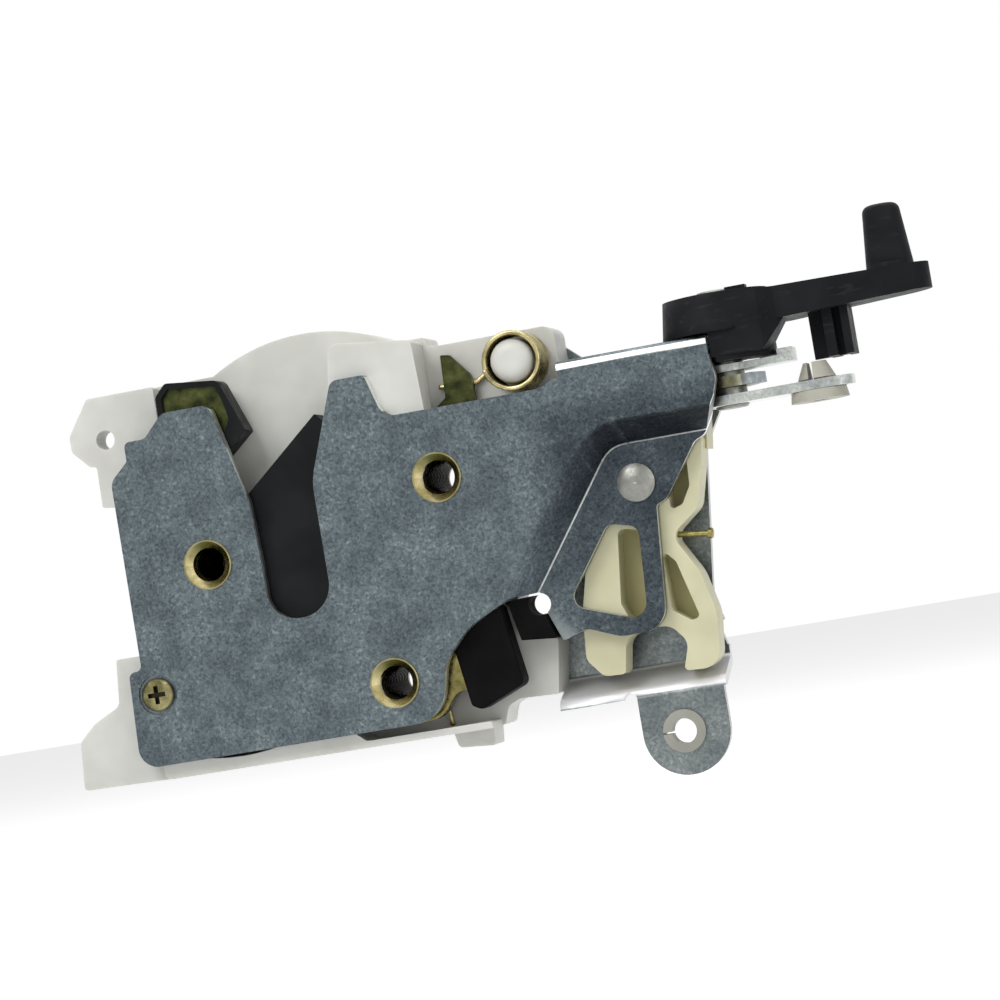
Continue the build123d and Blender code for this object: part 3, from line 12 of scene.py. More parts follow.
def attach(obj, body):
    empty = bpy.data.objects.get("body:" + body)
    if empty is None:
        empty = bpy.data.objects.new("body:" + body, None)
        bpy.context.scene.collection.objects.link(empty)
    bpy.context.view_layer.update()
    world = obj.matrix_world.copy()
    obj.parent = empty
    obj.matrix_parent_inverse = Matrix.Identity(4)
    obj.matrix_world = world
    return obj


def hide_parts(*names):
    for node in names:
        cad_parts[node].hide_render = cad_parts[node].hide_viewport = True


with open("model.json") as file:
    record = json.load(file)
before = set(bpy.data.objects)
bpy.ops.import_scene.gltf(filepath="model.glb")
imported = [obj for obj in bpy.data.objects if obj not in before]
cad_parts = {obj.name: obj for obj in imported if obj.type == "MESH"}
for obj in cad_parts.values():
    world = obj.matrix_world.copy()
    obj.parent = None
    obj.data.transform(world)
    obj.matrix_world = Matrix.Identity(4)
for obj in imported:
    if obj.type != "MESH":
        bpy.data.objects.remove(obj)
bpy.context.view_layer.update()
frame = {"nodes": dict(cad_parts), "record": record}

MM = 0.001
UNTINTED = (1.0, 1.0, 1.0)

# Pressed face plate, in mm. Heights: where the flat ends under the flange's bend, the bend and its roll
UNDER_BEND = (16.0, 21.0)
BEND_START = (22.6, 23.2)
OVER_BEND = (22.0, 23.0)
SLOPE_RISE = (-12.0, 13.0)
# Depths: front skin, slope, crease at the slope's foot, back skin of the set-back corner
FRONT_SKIN = (0.9, 1.3)
SLOPE_TOP, SLOPE_FOOT = (0.1, 0.9), (6.5, 6.8)
CREASE_START, CREASE_END = (6.5, 6.7), (6.95, 7.0)
BACK_SKIN_START, BACK_SKIN_END = (6.4, 6.6), (7.7, 8.1)
# Where painted shade goes on: behind the front face, and towards the right end
BEHIND, BEHIND_RIGHT, RIGHT_END = (0.1, 2.5), (67.0, 80.0), (66.0, 76.0)
# Place of painted light by the notch at the slope's foot: across this direction, and in height
NOTCH_DIRECTION = (0.81, 0.0, 0.59)
NOTCH_REACH, NOTCH_HEIGHT = (40.6, 43.2), (-18.0, -19.5)
# Share of a face's normal that looks forward: cut edges, crease, slopes, flat of the bend
CUT_TILT = (0.3, 0.5)
CREASE_TILT = (0.62, 0.7)
SLOPE_TILT = (0.9, 0.98)
LEDGE_TILT = (0.9, 0.97)
BEND_TILT = (0.985, 0.9985)
# Share that looks up, where the bend rolls into the top
ROLL_TILT = (0.6, 0.7)
# How far the painted highlight on the bracket's ledge fades out, and the depths from which a bush's end
# faces stay pale, free of the painted bore shade
LEDGE_FADE = 0.3
BACK_FACES = (8.0, 10.0)


# Materials

class Finish:
    """A Principled material. Patterns are noise on the object's own metres, given as grain sizes in mm."""

    def __init__(self, name, metallic, roughness):
        self.material = bpy.data.materials.new(name)
        self.material.use_nodes = True
        self.tree = self.material.node_tree
        self.shader = self.tree.nodes["Principled BSDF"]
        self.shader.inputs["Metallic"].default_value = metallic
        self.shader.inputs["Roughness"].default_value = roughness
        self.place = self.tree.nodes.new("ShaderNodeTexCoord").outputs["Object"]

    def link(self, source, target):
        self.tree.links.new(source, target)

    def noise(self, grain, detail=3.0, stretch=(1.0, 1.0, 1.0)):
        """Noise whose lumps are about one grain across, drawn out along an axis by its stretch."""
        mapping = self.tree.nodes.new("ShaderNodeMapping")
        mapping.inputs["Scale"].default_value = [1.0 / share for share in stretch]
        node = self.tree.nodes.new("ShaderNodeTexNoise")
        node.inputs["Scale"].default_value = 1.0 / (grain * MM)
        node.inputs["Detail"].default_value = detail
        self.link(self.place, mapping.inputs["Vector"])
        self.link(mapping.outputs["Vector"], node.inputs["Vector"])
        return node.outputs["Fac"]

    def cells(self, grain):
        """One random value for each crystal-like cell of that size."""
        node = self.tree.nodes.new("ShaderNodeTexVoronoi")
        node.inputs["Scale"].default_value = 1.0 / (grain * MM)
        self.link(self.place, node.inputs["Vector"])
        split = self.tree.nodes.new("ShaderNodeSeparateColor")
        self.link(node.outputs["Color"], split.inputs["Color"])
        return split.outputs["Red"]

    def ramp(self, value, low, high, dark, pale):
        """Dark where the value is at or under low, pale at or over high, blended between."""
        node = self.tree.nodes.new("ShaderNodeValToRGB")
        first, last = node.color_ramp.elements
        first.position, first.color = low, (*dark, 1.0)
        last.position, last.color = high, (*pale, 1.0)
        self.link(value, node.inputs["Fac"])
        return node.outputs["Color"]

    def step(self, value, low, high, start=0.0, end=1.0):
        """Start where the value is at or under low, end at or over high, straight between."""
        node = self.tree.nodes.new("ShaderNodeMapRange")
        for key, number in (("From Min", low), ("From Max", high), ("To Min", start), ("To Max", end)):
            node.inputs[key].default_value = number
        self.link(value, node.inputs["Value"])
        return node.outputs["Result"]

    def between(self, value, places, start=0.0, end=1.0):
        """Step between two places given in mm."""
        return self.step(value, places[0] * MM, places[1] * MM, start, end)

    def under(self, value, places):
        """Whole share up to the first place in mm, none from the second on."""
        return self.between(value, places, 1.0, 0.0)

    def band(self, value, rise, fall):
        """Share that comes in between two places in mm and goes out between two others."""
        return self.both(self.between(value, rise), self.under(value, fall))

    def tinted(self, colour, share, tone):
        """Colour multiplied by a tone, as far as the share goes."""
        return self.blend(1.0, colour, self.blend(share, UNTINTED, tone), "MULTIPLY")

    def rest_of(self, share):
        """What a share leaves of the whole."""
        return self.step(share, 0.0, 1.0, 1.0, 0.0)

    def blend(self, share, under, over, how="MIX"):
        """Colour over laid on colour under by a share, which is a number or another pattern."""
        node = self.tree.nodes.new("ShaderNodeMix")
        node.data_type = "RGBA"
        node.blend_type = how
        for key, value in ((0, share), (6, under), (7, over)):
            if isinstance(value, (int, float)):
                node.inputs[key].default_value = value
            elif isinstance(value, tuple):
                node.inputs[key].default_value = (*value, 1.0)
            else:
                self.link(value, node.inputs[key])
        return node.outputs[2]

    def facing(self, axis):
        """How squarely the surface faces along an axis of the object, from 0 to 1, either way."""
        split = self.tree.nodes.new("ShaderNodeSeparateXYZ")
        coordinates = self.tree.nodes.new("ShaderNodeTexCoord")
        self.link(coordinates.outputs["Normal"], split.inputs["Vector"])
        size = self.tree.nodes.new("ShaderNodeMath")
        size.operation = "ABSOLUTE"
        self.link(split.outputs[axis], size.inputs[0])
        return size.outputs["Value"]

    def facing_on(self, direction):
        """How squarely the surface faces along a direction of the object, from -1 to 1."""
        node = self.tree.nodes.new("ShaderNodeVectorMath")
        node.operation = "DOT_PRODUCT"
        node.inputs[1].default_value = direction
        coordinates = self.tree.nodes.new("ShaderNodeTexCoord")
        self.link(coordinates.outputs["Normal"], node.inputs[0])
        return node.outputs["Value"]

    def place_along(self, axis):
        """Distance along an axis of the object, in metres."""
        split = self.tree.nodes.new("ShaderNodeSeparateXYZ")
        self.link(self.place, split.inputs["Vector"])
        return split.outputs[axis]

    def place_on(self, direction):
        """Distance along a direction of the object, in metres."""
        node = self.tree.nodes.new("ShaderNodeVectorMath")
        node.operation = "DOT_PRODUCT"
        node.inputs[1].default_value = direction
        self.link(self.place, node.inputs[0])
        return node.outputs["Value"]

    def both(self, first, second):
        """Product of two shares."""
        node = self.tree.nodes.new("ShaderNodeMath")
        node.operation = "MULTIPLY"
        self.link(first, node.inputs[0])
        self.link(second, node.inputs[1])
        return node.outputs["Value"]

    def larger(self, first, second):
        """The larger of two shares."""
        node = self.tree.nodes.new("ShaderNodeMath")
        node.operation = "MAXIMUM"
        self.link(first, node.inputs[0])
        self.link(second, node.inputs[1])
        return node.outputs["Value"]

    def colour(self, pattern):
        self.pattern = pattern
        self.link(pattern, self.shader.inputs["Base Color"])

    def rough(self, value):
        self.link(value, self.shader.inputs["Roughness"])

    def bump(self, height, depth, distance=0.05):
        node = self.tree.nodes.new("ShaderNodeBump")
        node.inputs["Strength"].default_value = depth
        node.inputs["Distance"].default_value = distance * MM
        self.link(height, node.inputs["Height"])
        self.link(node.outputs["Normal"], self.shader.inputs["Normal"])


def zinc_sheet(name, dark, mid, pale, highlight_tone, pressed=False, ledge=None):
    """Mottled zinc sheet: fine spangle, broad duller patches, pale specks in drifts, and a painted
    highlight on cut edges. A pressed sheet also has painted shade on its slope and set-back part, painted
    light by the notch, and painted highlights along its crease and bend. A ledge is a painted highlight: a
    pale, less metallic band on slanted faces between two heights in mm."""
    finish = Finish(name, 0.96, 0.4)
    spangle = finish.ramp(finish.cells(0.6), 0.05, 0.95, dark, mid)
    fine = finish.ramp(finish.noise(0.5, 5.0), 0.38, 0.68, dark, mid)
    colour = finish.blend(0.5, spangle, fine)
    patches = finish.ramp(finish.noise(8.0, 6.0), 0.34, 0.66, (0.77, 0.78, 0.79), (1.2, 1.2, 1.17))
    colour = finish.blend(1.0, colour, patches, "MULTIPLY")
    drift = finish.step(finish.noise(8.0, 3.0), 0.4, 0.65, 0.2, 1.0)
    specks = finish.step(finish.noise(0.9, 6.0), 0.54, 0.72, 0.0, 0.42)
    colour = finish.blend(finish.both(specks, drift), colour, pale)
    tilt = finish.facing("Y")
    high, deep, across = (finish.place_along(axis) for axis in "ZYX")
    # Painted highlight on cut edges, where the face looks sideways
    painted_highlight = finish.step(tilt, *CUT_TILT, 1.0, 0.0)
    if pressed:
        under_bend = finish.under(high, UNDER_BEND)
        # Painted shade on the set-back part and towards the right end, under the bend
        behind = finish.both(finish.between(deep, BEHIND), finish.between(across, BEHIND_RIGHT, 0.3, 1.0))
        right = finish.between(across, RIGHT_END, 0.0, 0.9)
        set_back_shade = finish.both(under_bend, finish.larger(behind, right))
        colour = finish.tinted(colour, set_back_shade, (0.48, 0.49, 0.52))
        colour = slope_shade(finish, colour, under_bend, behind, tilt, high, deep, pale)
        painted_highlight = pressed_highlights(finish, painted_highlight, under_bend, tilt, high, deep)
    if ledge:
        low, top, tone = ledge
        # Painted highlight: a pale, less metallic band on the ledge's slanted faces
        ledge_light = finish.both(finish.band(high, (low - LEDGE_FADE, low), (top, top + LEDGE_FADE)),
                              finish.step(tilt, *LEDGE_TILT, 1.0, 0.0))
        highlight_tone = finish.blend(ledge_light, highlight_tone, tone)
        painted_highlight = finish.larger(painted_highlight, ledge_light)
        finish.link(finish.step(ledge_light, 0.0, 1.0, 0.96, 0.2), finish.shader.inputs["Metallic"])
    finish.colour(finish.blend(painted_highlight, colour, highlight_tone))
    finish.rough(finish.step(finish.noise(1.2, 4.0), 0.3, 0.7, 0.3, 0.46))
    finish.bump(finish.noise(0.5, 4.0), 0.25)
    return finish.material


def slope_shade(finish, colour, under_bend, behind, tilt, high, deep, pale):
    """Painted shade and light on the pressed slope, darker towards its top and lighter at its foot, and
    painted light making the set-back flat pale by the notch at its foot.
    """
    slope = finish.both(finish.both(finish.band(deep, SLOPE_TOP, SLOPE_FOOT), under_bend),
                        finish.step(tilt, *SLOPE_TILT, 1.0, 0.0))
    # Painted shade towards the slope's top, painted light at its foot
    slope_shade_tone = finish.blend(finish.between(high, SLOPE_RISE), (1.2, 1.22, 1.26), (0.46, 0.43, 0.47))
    colour = finish.tinted(colour, slope, slope_shade_tone)
    # Painted light: the set-back flat by the notch made pale
    notch = finish.both(finish.under(finish.place_on(NOTCH_DIRECTION), NOTCH_REACH),
                        finish.between(high, NOTCH_HEIGHT))
    notch_light = finish.both(finish.both(notch, behind), finish.step(tilt, *SLOPE_TILT))
    return finish.blend(notch_light, colour, pale)


def pressed_highlights(finish, cut, under_bend, tilt, high, deep):
    """Share with a painted highlight: cut edges near either skin of the sheet, the crease at the slope's
    foot, and the flange's bend as far as its roll into the top."""
    crease = finish.both(finish.both(finish.band(deep, CREASE_START, CREASE_END), under_bend),
                         finish.step(tilt, *CREASE_TILT, 1.0, 0.0))
    bend = finish.both(finish.between(high, BEND_START), finish.step(tilt, *BEND_TILT, 1.0, 0.0))
    rolled = finish.both(finish.between(high, BEND_START), finish.step(finish.facing("Z"), *ROLL_TILT))
    # Painted highlights, cut to a quarter away from either skin and the bend's top
    painted_highlight = finish.larger(finish.larger(cut, crease), bend)
    painted_highlight = finish.both(painted_highlight, finish.rest_of(rolled))
    skin = finish.larger(finish.under(deep, FRONT_SKIN), finish.band(deep, BACK_SKIN_START, BACK_SKIN_END))
    skin = finish.larger(skin, finish.between(high, OVER_BEND))
    return finish.both(painted_highlight, finish.step(skin, 0.0, 1.0, 0.25, 1.0))


def gold_zinc(name, dark, pale, green, low=0.2, high=0.4, deep=None, side_shade=None):
    """Yellow passivated steel: olive and gold drifting into each other, with a satin turned grain. It
    has painted shade coming in between two depths in mm, except on faces at the back, and painted shade
    where it faces down and left."""
    finish = Finish(name, 0.95, 0.3)
    drift = finish.ramp(finish.noise(3.0, 3.0), 0.35, 0.68, dark, pale)
    fine = finish.step(finish.noise(0.5, 4.0), 0.45, 0.7, 0.0, 0.6)
    colour = finish.blend(fine, drift, green)
    if side_shade:
        # Painted shade on faces turned down and left
        side = finish.step(finish.facing_on((0.5, 0.0, 0.87)), -0.55, 0.35, 1.0, 0.0)
        colour = finish.blend(side, colour, side_shade)
    if deep:
        # Painted shade in bores and recesses, from the given depths on
        depth = finish.place_along("Y")
        shade = finish.between(depth, deep)
        bore = finish.larger(finish.under(depth, BACK_FACES),
                             finish.step(finish.facing("Y"), 0.5, 0.8, 1.0, 0.0))
        colour = finish.blend(finish.both(shade, bore), colour, (0.02, 0.018, 0.012))
    finish.colour(colour)
    finish.rough(finish.step(finish.noise(0.9, 3.0), 0.3, 0.7, low, high))
    finish.bump(finish.noise(0.35, 3.0), 0.15)
    return finish.material


def two_toned(name, left, right, start, end):
    """Worn zinc on a small lever, going from one tone to another across X, between two places in mm."""
    finish = Finish(name, 0.95, 0.35)
    side = finish.between(finish.place_along("X"), (start, end))
    colour = finish.blend(side, left, right)
    wear = finish.ramp(finish.noise(1.5, 4.0), 0.35, 0.7, (0.75, 0.75, 0.75), (1.25, 1.25, 1.25))
    finish.colour(finish.blend(1.0, colour, wear, "MULTIPLY"))
    finish.rough(finish.step(finish.noise(0.9, 3.0), 0.3, 0.7, 0.25, 0.42))
    finish.bump(finish.noise(0.4, 3.0), 0.15)
    return finish.material


def handled_plastic(name, dark, pale, worn):
    """Black moulded plastic with faint pale streaks where hands and rods have rubbed it."""
    finish = Finish(name, 0.0, 0.45)
    finish.shader.inputs["Specular IOR Level"].default_value = 0.05
    colour = finish.ramp(finish.noise(9.0, 2.0), 0.35, 0.65, dark, pale)
    streaks = finish.step(finish.noise(1.1, 4.0, (6.0, 1.0, 1.0)), 0.6, 0.75, 0.0, 0.5)
    finish.colour(finish.blend(streaks, colour, worn))
    finish.rough(finish.step(finish.noise(2.0, 4.0), 0.3, 0.7, 0.38, 0.55))
    finish.bump(finish.noise(0.35, 3.0), 0.3, 0.03)
    return finish.material


def moulded(name, dark, pale, roughness, depth, grain=0.35, shine=0.5):
    """Moulded plastic: faint cloudiness in the colour and a fine matt skin."""
    finish = Finish(name, 0.0, roughness)
    finish.shader.inputs["Specular IOR Level"].default_value = shine
    finish.colour(finish.ramp(finish.noise(9.0, 2.0), 0.35, 0.65, dark, pale))
    finish.rough(finish.step(finish.noise(2.0, 4.0), 0.3, 0.7, roughness - 0.08, roughness + 0.1))
    finish.bump(finish.noise(grain, 3.0), depth, 0.03)
    return finish


def nylon(name, dark, pale, glow, reach, pocket=None):
    """Natural nylon: light goes a little way in and comes out again. A pocket is painted shade: a darker
    tone reached between two depths in mm."""
    finish = moulded(name, dark, pale, 0.42, 0.08, 0.6)
    if pocket:
        # Painted shade in the pocket, on faces looking along Y
        pocket_shade_tone, start, end = pocket
        inside = finish.both(finish.between(finish.place_along("Y"), (start, end)),
                             finish.step(finish.facing("Y"), 0.6, 0.9))
        finish.colour(finish.blend(inside, finish.pattern, pocket_shade_tone))
    finish.shader.inputs["Subsurface Weight"].default_value = glow
    finish.shader.inputs["Subsurface Radius"].default_value = (1.0, 0.95, 0.8)
    finish.shader.inputs["Subsurface Scale"].default_value = reach * MM
    return finish.material


def plain_steel(name, dark, pale):
    """Bare satin steel with faint wear."""
    finish = Finish(name, 0.8, 0.38)
    finish.colour(finish.ramp(finish.noise(1.4, 4.0), 0.35, 0.7, dark, pale))
    finish.rough(finish.step(finish.noise(0.8, 3.0), 0.3, 0.7, 0.28, 0.5))
    finish.bump(finish.noise(0.4, 3.0), 0.15)
    return finish.material


FINISHES = {
    # Each sheet: dark, mid and pale tones, then the painted highlight colour of its cut edges
    "zinc_plate": zinc_sheet("zinc_plate", (0.056, 0.072, 0.081), (0.142, 0.172, 0.187), (0.4, 0.44, 0.43),
                             (0.82, 0.84, 0.81), pressed=True),
    # The bracket's ledge carries a painted highlight
    "bracket_zinc": zinc_sheet("bracket_zinc", (0.11, 0.13, 0.135), (0.22, 0.24, 0.24), (0.5, 0.52, 0.5),
                               (0.46, 0.47, 0.46), ledge=(-40.7, -33.6, (0.72, 0.72, 0.74))),
    "gold_zinc": gold_zinc("gold_zinc", (0.1, 0.09, 0.03), (0.4, 0.33, 0.13), (0.2, 0.2, 0.07)),
    "spring_steel": gold_zinc("spring_steel", (0.2, 0.17, 0.08), (0.6, 0.5, 0.26), (0.34, 0.33, 0.16)),
    "rivet_steel": plain_steel("rivet_steel", (0.2, 0.2, 0.182), (0.26, 0.26, 0.238)),
    "white_nylon": nylon("white_nylon", (0.53, 0.53, 0.495), (0.6, 0.6, 0.565), 0.3, 1.5),
    # The cream nylon's pocket is painted shade
    "cream_nylon": nylon("cream_nylon", (0.52, 0.5, 0.33), (0.59, 0.57, 0.385), 0.2, 0.8,
                         pocket=((0.4, 0.37, 0.17), 11.0, 14.0)),
    "beige_plastic": moulded("beige_plastic", (0.3, 0.295, 0.24), (0.38, 0.37, 0.31), 0.5, 0.1).material,
    "black_plastic": moulded("black_plastic", (0.004, 0.0045, 0.005), (0.009, 0.0095, 0.01), 0.45, 0.3,
                             shine=0.1).material,
    "black_rubber": moulded("black_rubber", (0.003, 0.003, 0.003), (0.006, 0.006, 0.006), 0.6, 0.3,
                            shine=0.06).material,
}

# Finishes of single nodes: olive steel darkened as painted shade of its flat faces, turned bushes with
# painted shade in their bores, pale levers
SHADED_OLIVE = gold_zinc("shaded_olive_zinc", (0.014, 0.019, 0.007), (0.08, 0.086, 0.03), (0.04, 0.05, 0.015), 0.3, 0.5)
# Turned bushes: painted shade in their bores and on faces turned down and left
TURNED = gold_zinc("turned_zinc", (0.34, 0.28, 0.12), (0.66, 0.57, 0.31), (0.44, 0.41, 0.19), 0.12, 0.22,
                   deep=(1.4, 4.0), side_shade=(0.08, 0.085, 0.03))
# The screw head's recess gets painted shade
RECESSED = gold_zinc("recessed_zinc", (0.12, 0.11, 0.045), (0.36, 0.32, 0.16), (0.2, 0.2, 0.09), 0.16, 0.3,
                     deep=(-0.6, -0.2))
# Last colour: the painted highlight of cut edges
PALE = zinc_sheet("pale_zinc", (0.3, 0.32, 0.31), (0.48, 0.5, 0.48), (0.7, 0.72, 0.69), (0.72, 0.73, 0.7))
MATT_BLACK = moulded("matt_black", (0.0025, 0.0025, 0.0028), (0.005, 0.005, 0.0055), 0.6, 0.3,
                     shine=0.05).material
NODE_FINISHES = {
    "claw_plate": SHADED_OLIVE,
    "release_lever": SHADED_OLIVE,
    "claw_bush": TURNED,
    "upper_bush": TURNED,
    "pawl_bush": TURNED,
    "housing_screw": RECESSED,
    "stop_plate": PALE,
    "outside_lever": PALE,
    "pawl_stop": MATT_BLACK,
    "pawl_cover": MATT_BLACK,
    "lock_lever": handled_plastic("lever_black", (0.009, 0.0095, 0.0105), (0.014, 0.0145, 0.0165),
                                  (0.034, 0.034, 0.036)),
    "tab_grommet": moulded("grommet_grey", (0.25, 0.25, 0.215), (0.31, 0.31, 0.27), 0.5, 0.1).material,
    "inside_lever": two_toned("lever_zinc", (0.13, 0.13, 0.08), (0.36, 0.4, 0.43), 111.5, 114.5),
}

# Edge rounding of each CAD node, in mm; what isn't named keeps its edges
ROUNDING = {
    "face_plate": 0.18,
    "back_plate": 0.18,
    "housing": 0.35,
    "locking_link": 0.3,
    "lock_lever": 0.3,
    "claw_cover": 0.25,
    "pawl_cover": 0.25,
}


def dress_nodes():
    """Each CAD node gets its slot's finish, and the named ones a small rounding of their sharp edges."""
    slots = {entry["node"]: entry["material_slot"] for entry in frame["record"]["subparts"]}
    for name, node in frame["nodes"].items():
        material = NODE_FINISHES.get(name, FINISHES[slots[name]])
        for slot in node.material_slots:
            slot.material = material
        if not node.material_slots:
            node.data.materials.append(material)
        if name in ROUNDING:
            weld = node.modifiers.new("weld", "WELD")
            weld.merge_threshold = 0.001 * MM
            rounding = node.modifiers.new("rounding", "BEVEL")
            rounding.width = ROUNDING[name] * MM
            rounding.segments = 2
            rounding.limit_method = "ANGLE"
            rounding.angle_limit = radians(35.0)
            rounding.harden_normals = True


# Cut threads

BORE_R = 3.4 * MM
THREAD_PITCH = 1.25 * MM
THREAD_DEPTH = 0.34 * MM
RIDGE_FLANK = 1.25
TURN_STEPS, RIDGE_STEPS = 40, 7
MOUTH = 1.2 * MM
# Mount at the bush's front, and the bush's length
BUSHES = {
    "claw_thread": ("claw_bolt", 20.0 * MM),
    "upper_thread": ("upper_bolt", 22.6 * MM),
    "pawl_thread": ("pawl_bolt", 22.6 * MM),
}


def surface(name, points, material, closed_round=False):
    """Mesh of a grid of points, rows by columns, joined round the columns where that is asked."""
    rows, columns = points.shape[:2]
    index = np.arange(rows * columns).reshape(rows, columns)
    if closed_round:
        index = np.concatenate([index, index[:, :1]], axis=1)
    quads = np.stack([index[:-1, :-1], index[:-1, 1:], index[1:, 1:], index[1:, :-1]], axis=-1)
    mesh = bpy.data.meshes.new(name)
    mesh.from_pydata(points.reshape(-1, 3), [], quads.reshape(-1, 4))
    mesh.shade_smooth()
    mesh.materials.append(material)
    piece = bpy.data.objects.new(name, mesh)
    bpy.context.scene.collection.objects.link(piece)
    return piece


def thread(name, x, z, start, length):
    """Inside thread: a ridge that winds along Y. Its radius is the bore's less the thread's depth times
    a wave, which goes up and down straight across the ridge, is cut off at 1, and fades to nothing over
    half a turn at both ends."""
    turns = length / THREAD_PITCH - 1.0
    angle = np.linspace(0.0, 2.0 * np.pi * turns, int(TURN_STEPS * turns))[:, None]
    across = np.linspace(0.0, 1.0, RIDGE_STEPS)[None, :]
    wave = np.clip(RIDGE_FLANK - np.abs(2.0 * across - 1.0) * RIDGE_FLANK, 0.0, 1.0)
    fade = np.clip(np.minimum(angle, angle[-1] - angle) / np.pi, 0.0, 1.0)
    radius = BORE_R - THREAD_DEPTH * wave * fade
    depth = start + THREAD_PITCH * (angle / (2.0 * np.pi) + across)
    circle = np.broadcast_arrays(x + radius * np.cos(angle), depth, z + radius * np.sin(angle))
    return surface(name, np.stack(circle, axis=-1), TURNED)


def build_threads():
    mounts = {mount["name"]: mount for mount in frame["record"]["mounts"]}
    for name, (mount, length) in BUSHES.items():
        x, y, z = mounts[mount]["pos_m"]
        piece = thread(name, x, z, y + MOUTH, length - MOUTH)
        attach(piece, "latch_frame")


# Release spring

PEG_X, PEG_Z = 68.0 * MM, 29.7 * MM
COIL_R = 5.6 * MM
WIRE_R = 0.5 * MM
COIL_FRONT, COIL_BACK = 2.3 * MM, 11.3 * MM
COIL_TURNS = 9.0
COIL_STEPS, LEG_STEPS, WIRE_SIDES = 72, 24, 12
SMOOTHING = 5
# Corners of the leg, X and Z in mm
LEG = [(58.4, 27.2), (49.9, 27.6)]


def wire(name, path, radius, material):
    """Round wire along a path: at each point a circle square to the path's direction, which is the
    difference of its neighbours. The caps close to the path's first and last points."""
    along = np.gradient(path, axis=0)
    along /= np.linalg.norm(along, axis=1, keepdims=True)
    side = np.cross(along, (0.0, 1.0, 0.0))
    side /= np.linalg.norm(side, axis=1, keepdims=True)
    up = np.cross(side, along)
    angle = np.linspace(0.0, 2.0 * np.pi, WIRE_SIDES, endpoint=False)[None, :, None]
    rings = path[:, None] + radius * (np.cos(angle) * side[:, None] + np.sin(angle) * up[:, None])
    first, last = (np.repeat(path[None, end : end + 1], WIRE_SIDES, axis=1) for end in (0, len(path) - 1))
    return surface(name, np.concatenate([first, rings, last]), material, closed_round=True)


def build_release_spring():
    """Coil round the peg, from its front to its back, whose leg runs out to the release lever. The
    angle goes straight with the depth, and a running mean of the points rounds the leg's bends."""
    turn = np.linspace(0.0, 1.0, int(COIL_TURNS * COIL_STEPS))
    angle = np.pi - 2.0 * np.pi * COIL_TURNS * (1.0 - turn)
    coil = np.stack([PEG_X + COIL_R * np.cos(angle), COIL_FRONT + (COIL_BACK - COIL_FRONT) * turn,
                     PEG_Z + COIL_R * np.sin(angle)], axis=1)
    corners = np.array([coil[-1]] + [(x * MM, COIL_BACK, z * MM) for x, z in LEG])
    share = np.linspace(0.0, 1.0, LEG_STEPS)[1:, None]
    legs = [start + (end - start) * share for start, end in zip(corners[:-1], corners[1:])]
    path = np.concatenate([coil, *legs])
    mean = np.ones(SMOOTHING) / SMOOTHING
    smooth = np.stack([np.convolve(column, mean, "valid") for column in path.T], axis=1)
    piece = wire("release_coil", smooth, WIRE_R, FINISHES["spring_steel"])
    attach(piece, "latch_frame")
    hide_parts("release_spring")


# Studio

TARGET = Vector((59.97 * MM, 8.0 * MM, 2.97 * MM))
AZIMUTH = radians(13.0)
ELEVATION = radians(-2.0)
ROLL = radians(9.5)
DISTANCE = 700.0 * MM
LENS = 126.0
SENSOR = 36.0
CLIP_START = 10.0 * MM
FLOOR_Z = -75.0 * MM
FLOOR_HALF = 3.0
FLOOR_COLOUR = (0.9, 0.9, 0.9, 1.0)
FLOOR_GLOW = 0.45
WORLD_LIGHT = 0.42
WHITE = (1.0, 1.0, 1.0, 1.0)
# Place and size in metres, power in watts
LAMPS = {
    "key": ((-0.25, -0.7, 0.65), (0.5, 0.4), 4.6),
    "fill": ((0.7, -0.5, 0.25), (0.4, 0.5), 1.2),
    "strip": ((0.06, -0.3, 0.7), (0.9, 0.1), 1.6),
    "top": ((0.1, 0.25, 0.8), (0.6, 0.4), 2.2),
}


def build_camera():
    back = Vector((sin(AZIMUTH) * cos(ELEVATION), -cos(AZIMUTH) * cos(ELEVATION), sin(ELEVATION)))
    level = Vector((cos(AZIMUTH), sin(AZIMUTH), 0.0))
    upright = back.cross(level)
    right = level * cos(ROLL) - upright * sin(ROLL)
    up = level * sin(ROLL) + upright * cos(ROLL)
    data = bpy.data.cameras.new("camera")
    data.lens = LENS
    data.sensor_width = SENSOR
    data.clip_start = CLIP_START
    camera = bpy.data.objects.new("camera", data)
    turned = Matrix((right, up, back)).transposed().to_4x4()
    camera.matrix_world = Matrix.Translation(TARGET + back * DISTANCE) @ turned
    bpy.context.scene.collection.objects.link(camera)
    bpy.context.scene.camera = camera


def build_lamp(name, place, size, power):
    data = bpy.data.lights.new(name, "AREA")
    data.shape = "RECTANGLE"
    data.size, data.size_y = size
    data.energy = power
    lamp = bpy.data.objects.new(name, data)
    lamp.location = place
    lamp.rotation_euler = (TARGET - Vector(place)).to_track_quat("-Z", "Y").to_euler()
    bpy.context.scene.collection.objects.link(lamp)


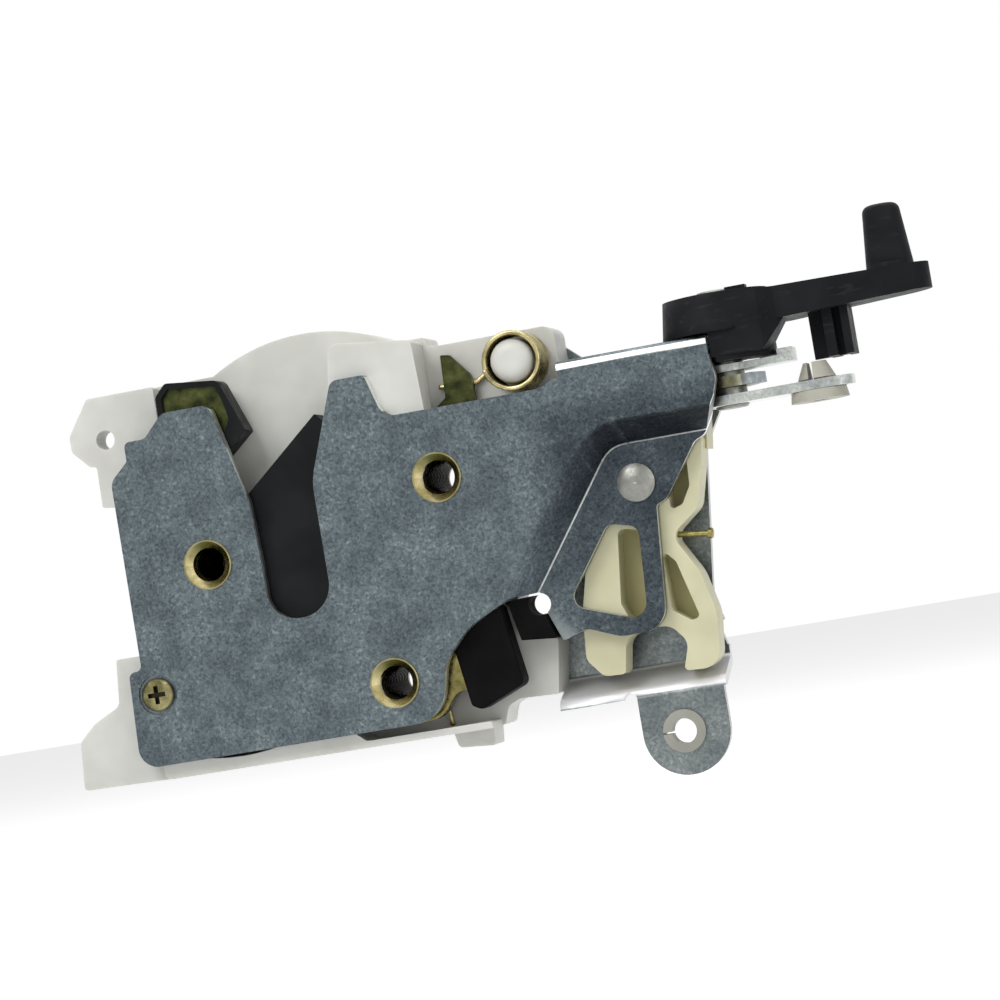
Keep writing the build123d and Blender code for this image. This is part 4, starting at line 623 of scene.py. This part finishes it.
def seen_white(tree, plain, white):
    """Plain shader for the light on the object, white one for the camera and what mirrors it."""
    path = tree.nodes.new("ShaderNodeLightPath")
    seen = path.outputs["Is Camera Ray"]
    for ray in ("Is Glossy Ray", "Is Transmission Ray"):
        either = tree.nodes.new("ShaderNodeMath")
        either.operation = "MAXIMUM"
        tree.links.new(seen, either.inputs[0])
        tree.links.new(path.outputs[ray], either.inputs[1])
        seen = either.outputs["Value"]
    mix = tree.nodes.new("ShaderNodeMixShader")
    tree.links.new(seen, mix.inputs["Fac"])
    tree.links.new(plain, mix.inputs[1])
    tree.links.new(white, mix.inputs[2])
    return mix.outputs["Shader"]


def build_world():
    world = bpy.data.worlds.new("studio")
    bpy.context.scene.world = world
    world.use_nodes = True
    tree = world.node_tree
    plain = tree.nodes["Background"]
    plain.inputs["Color"].default_value = WHITE
    plain.inputs["Strength"].default_value = WORLD_LIGHT
    white = tree.nodes.new("ShaderNodeBackground")
    white.inputs["Color"].default_value = WHITE
    shader = seen_white(tree, plain.outputs["Background"], white.outputs["Background"])
    tree.links.new(shader, tree.nodes["World Output"].inputs["Surface"])


def build_floor():
    mesh = bpy.data.meshes.new("floor")
    corners = [(-1, -1), (1, -1), (1, 1), (-1, 1)]
    mesh.from_pydata([(x * FLOOR_HALF, y * FLOOR_HALF, FLOOR_Z) for x, y in corners], [], [(0, 1, 2, 3)])
    floor = bpy.data.objects.new("floor", mesh)
    bpy.context.scene.collection.objects.link(floor)
    material = bpy.data.materials.new("pale_floor")
    material.use_nodes = True
    tree = material.node_tree
    matt = tree.nodes.new("ShaderNodeBsdfDiffuse")
    matt.inputs["Color"].default_value = FLOOR_COLOUR
    glow = tree.nodes.new("ShaderNodeEmission")
    glow.inputs["Strength"].default_value = FLOOR_GLOW
    lit = tree.nodes.new("ShaderNodeAddShader")
    tree.links.new(matt.outputs["BSDF"], lit.inputs[0])
    tree.links.new(glow.outputs["Emission"], lit.inputs[1])
    shader = seen_white(tree, matt.outputs["BSDF"], lit.outputs["Shader"])
    tree.links.new(shader, tree.nodes["Material Output"].inputs["Surface"])
    mesh.materials.append(material)


def build_studio():
    build_world()
    build_floor()
    for name, (place, size, power) in LAMPS.items():
        build_lamp(name, place, size, power)
    bpy.context.scene.view_settings.view_transform = "Standard"


dress_nodes()
build_threads()
build_release_spring()
build_camera()
build_studio()
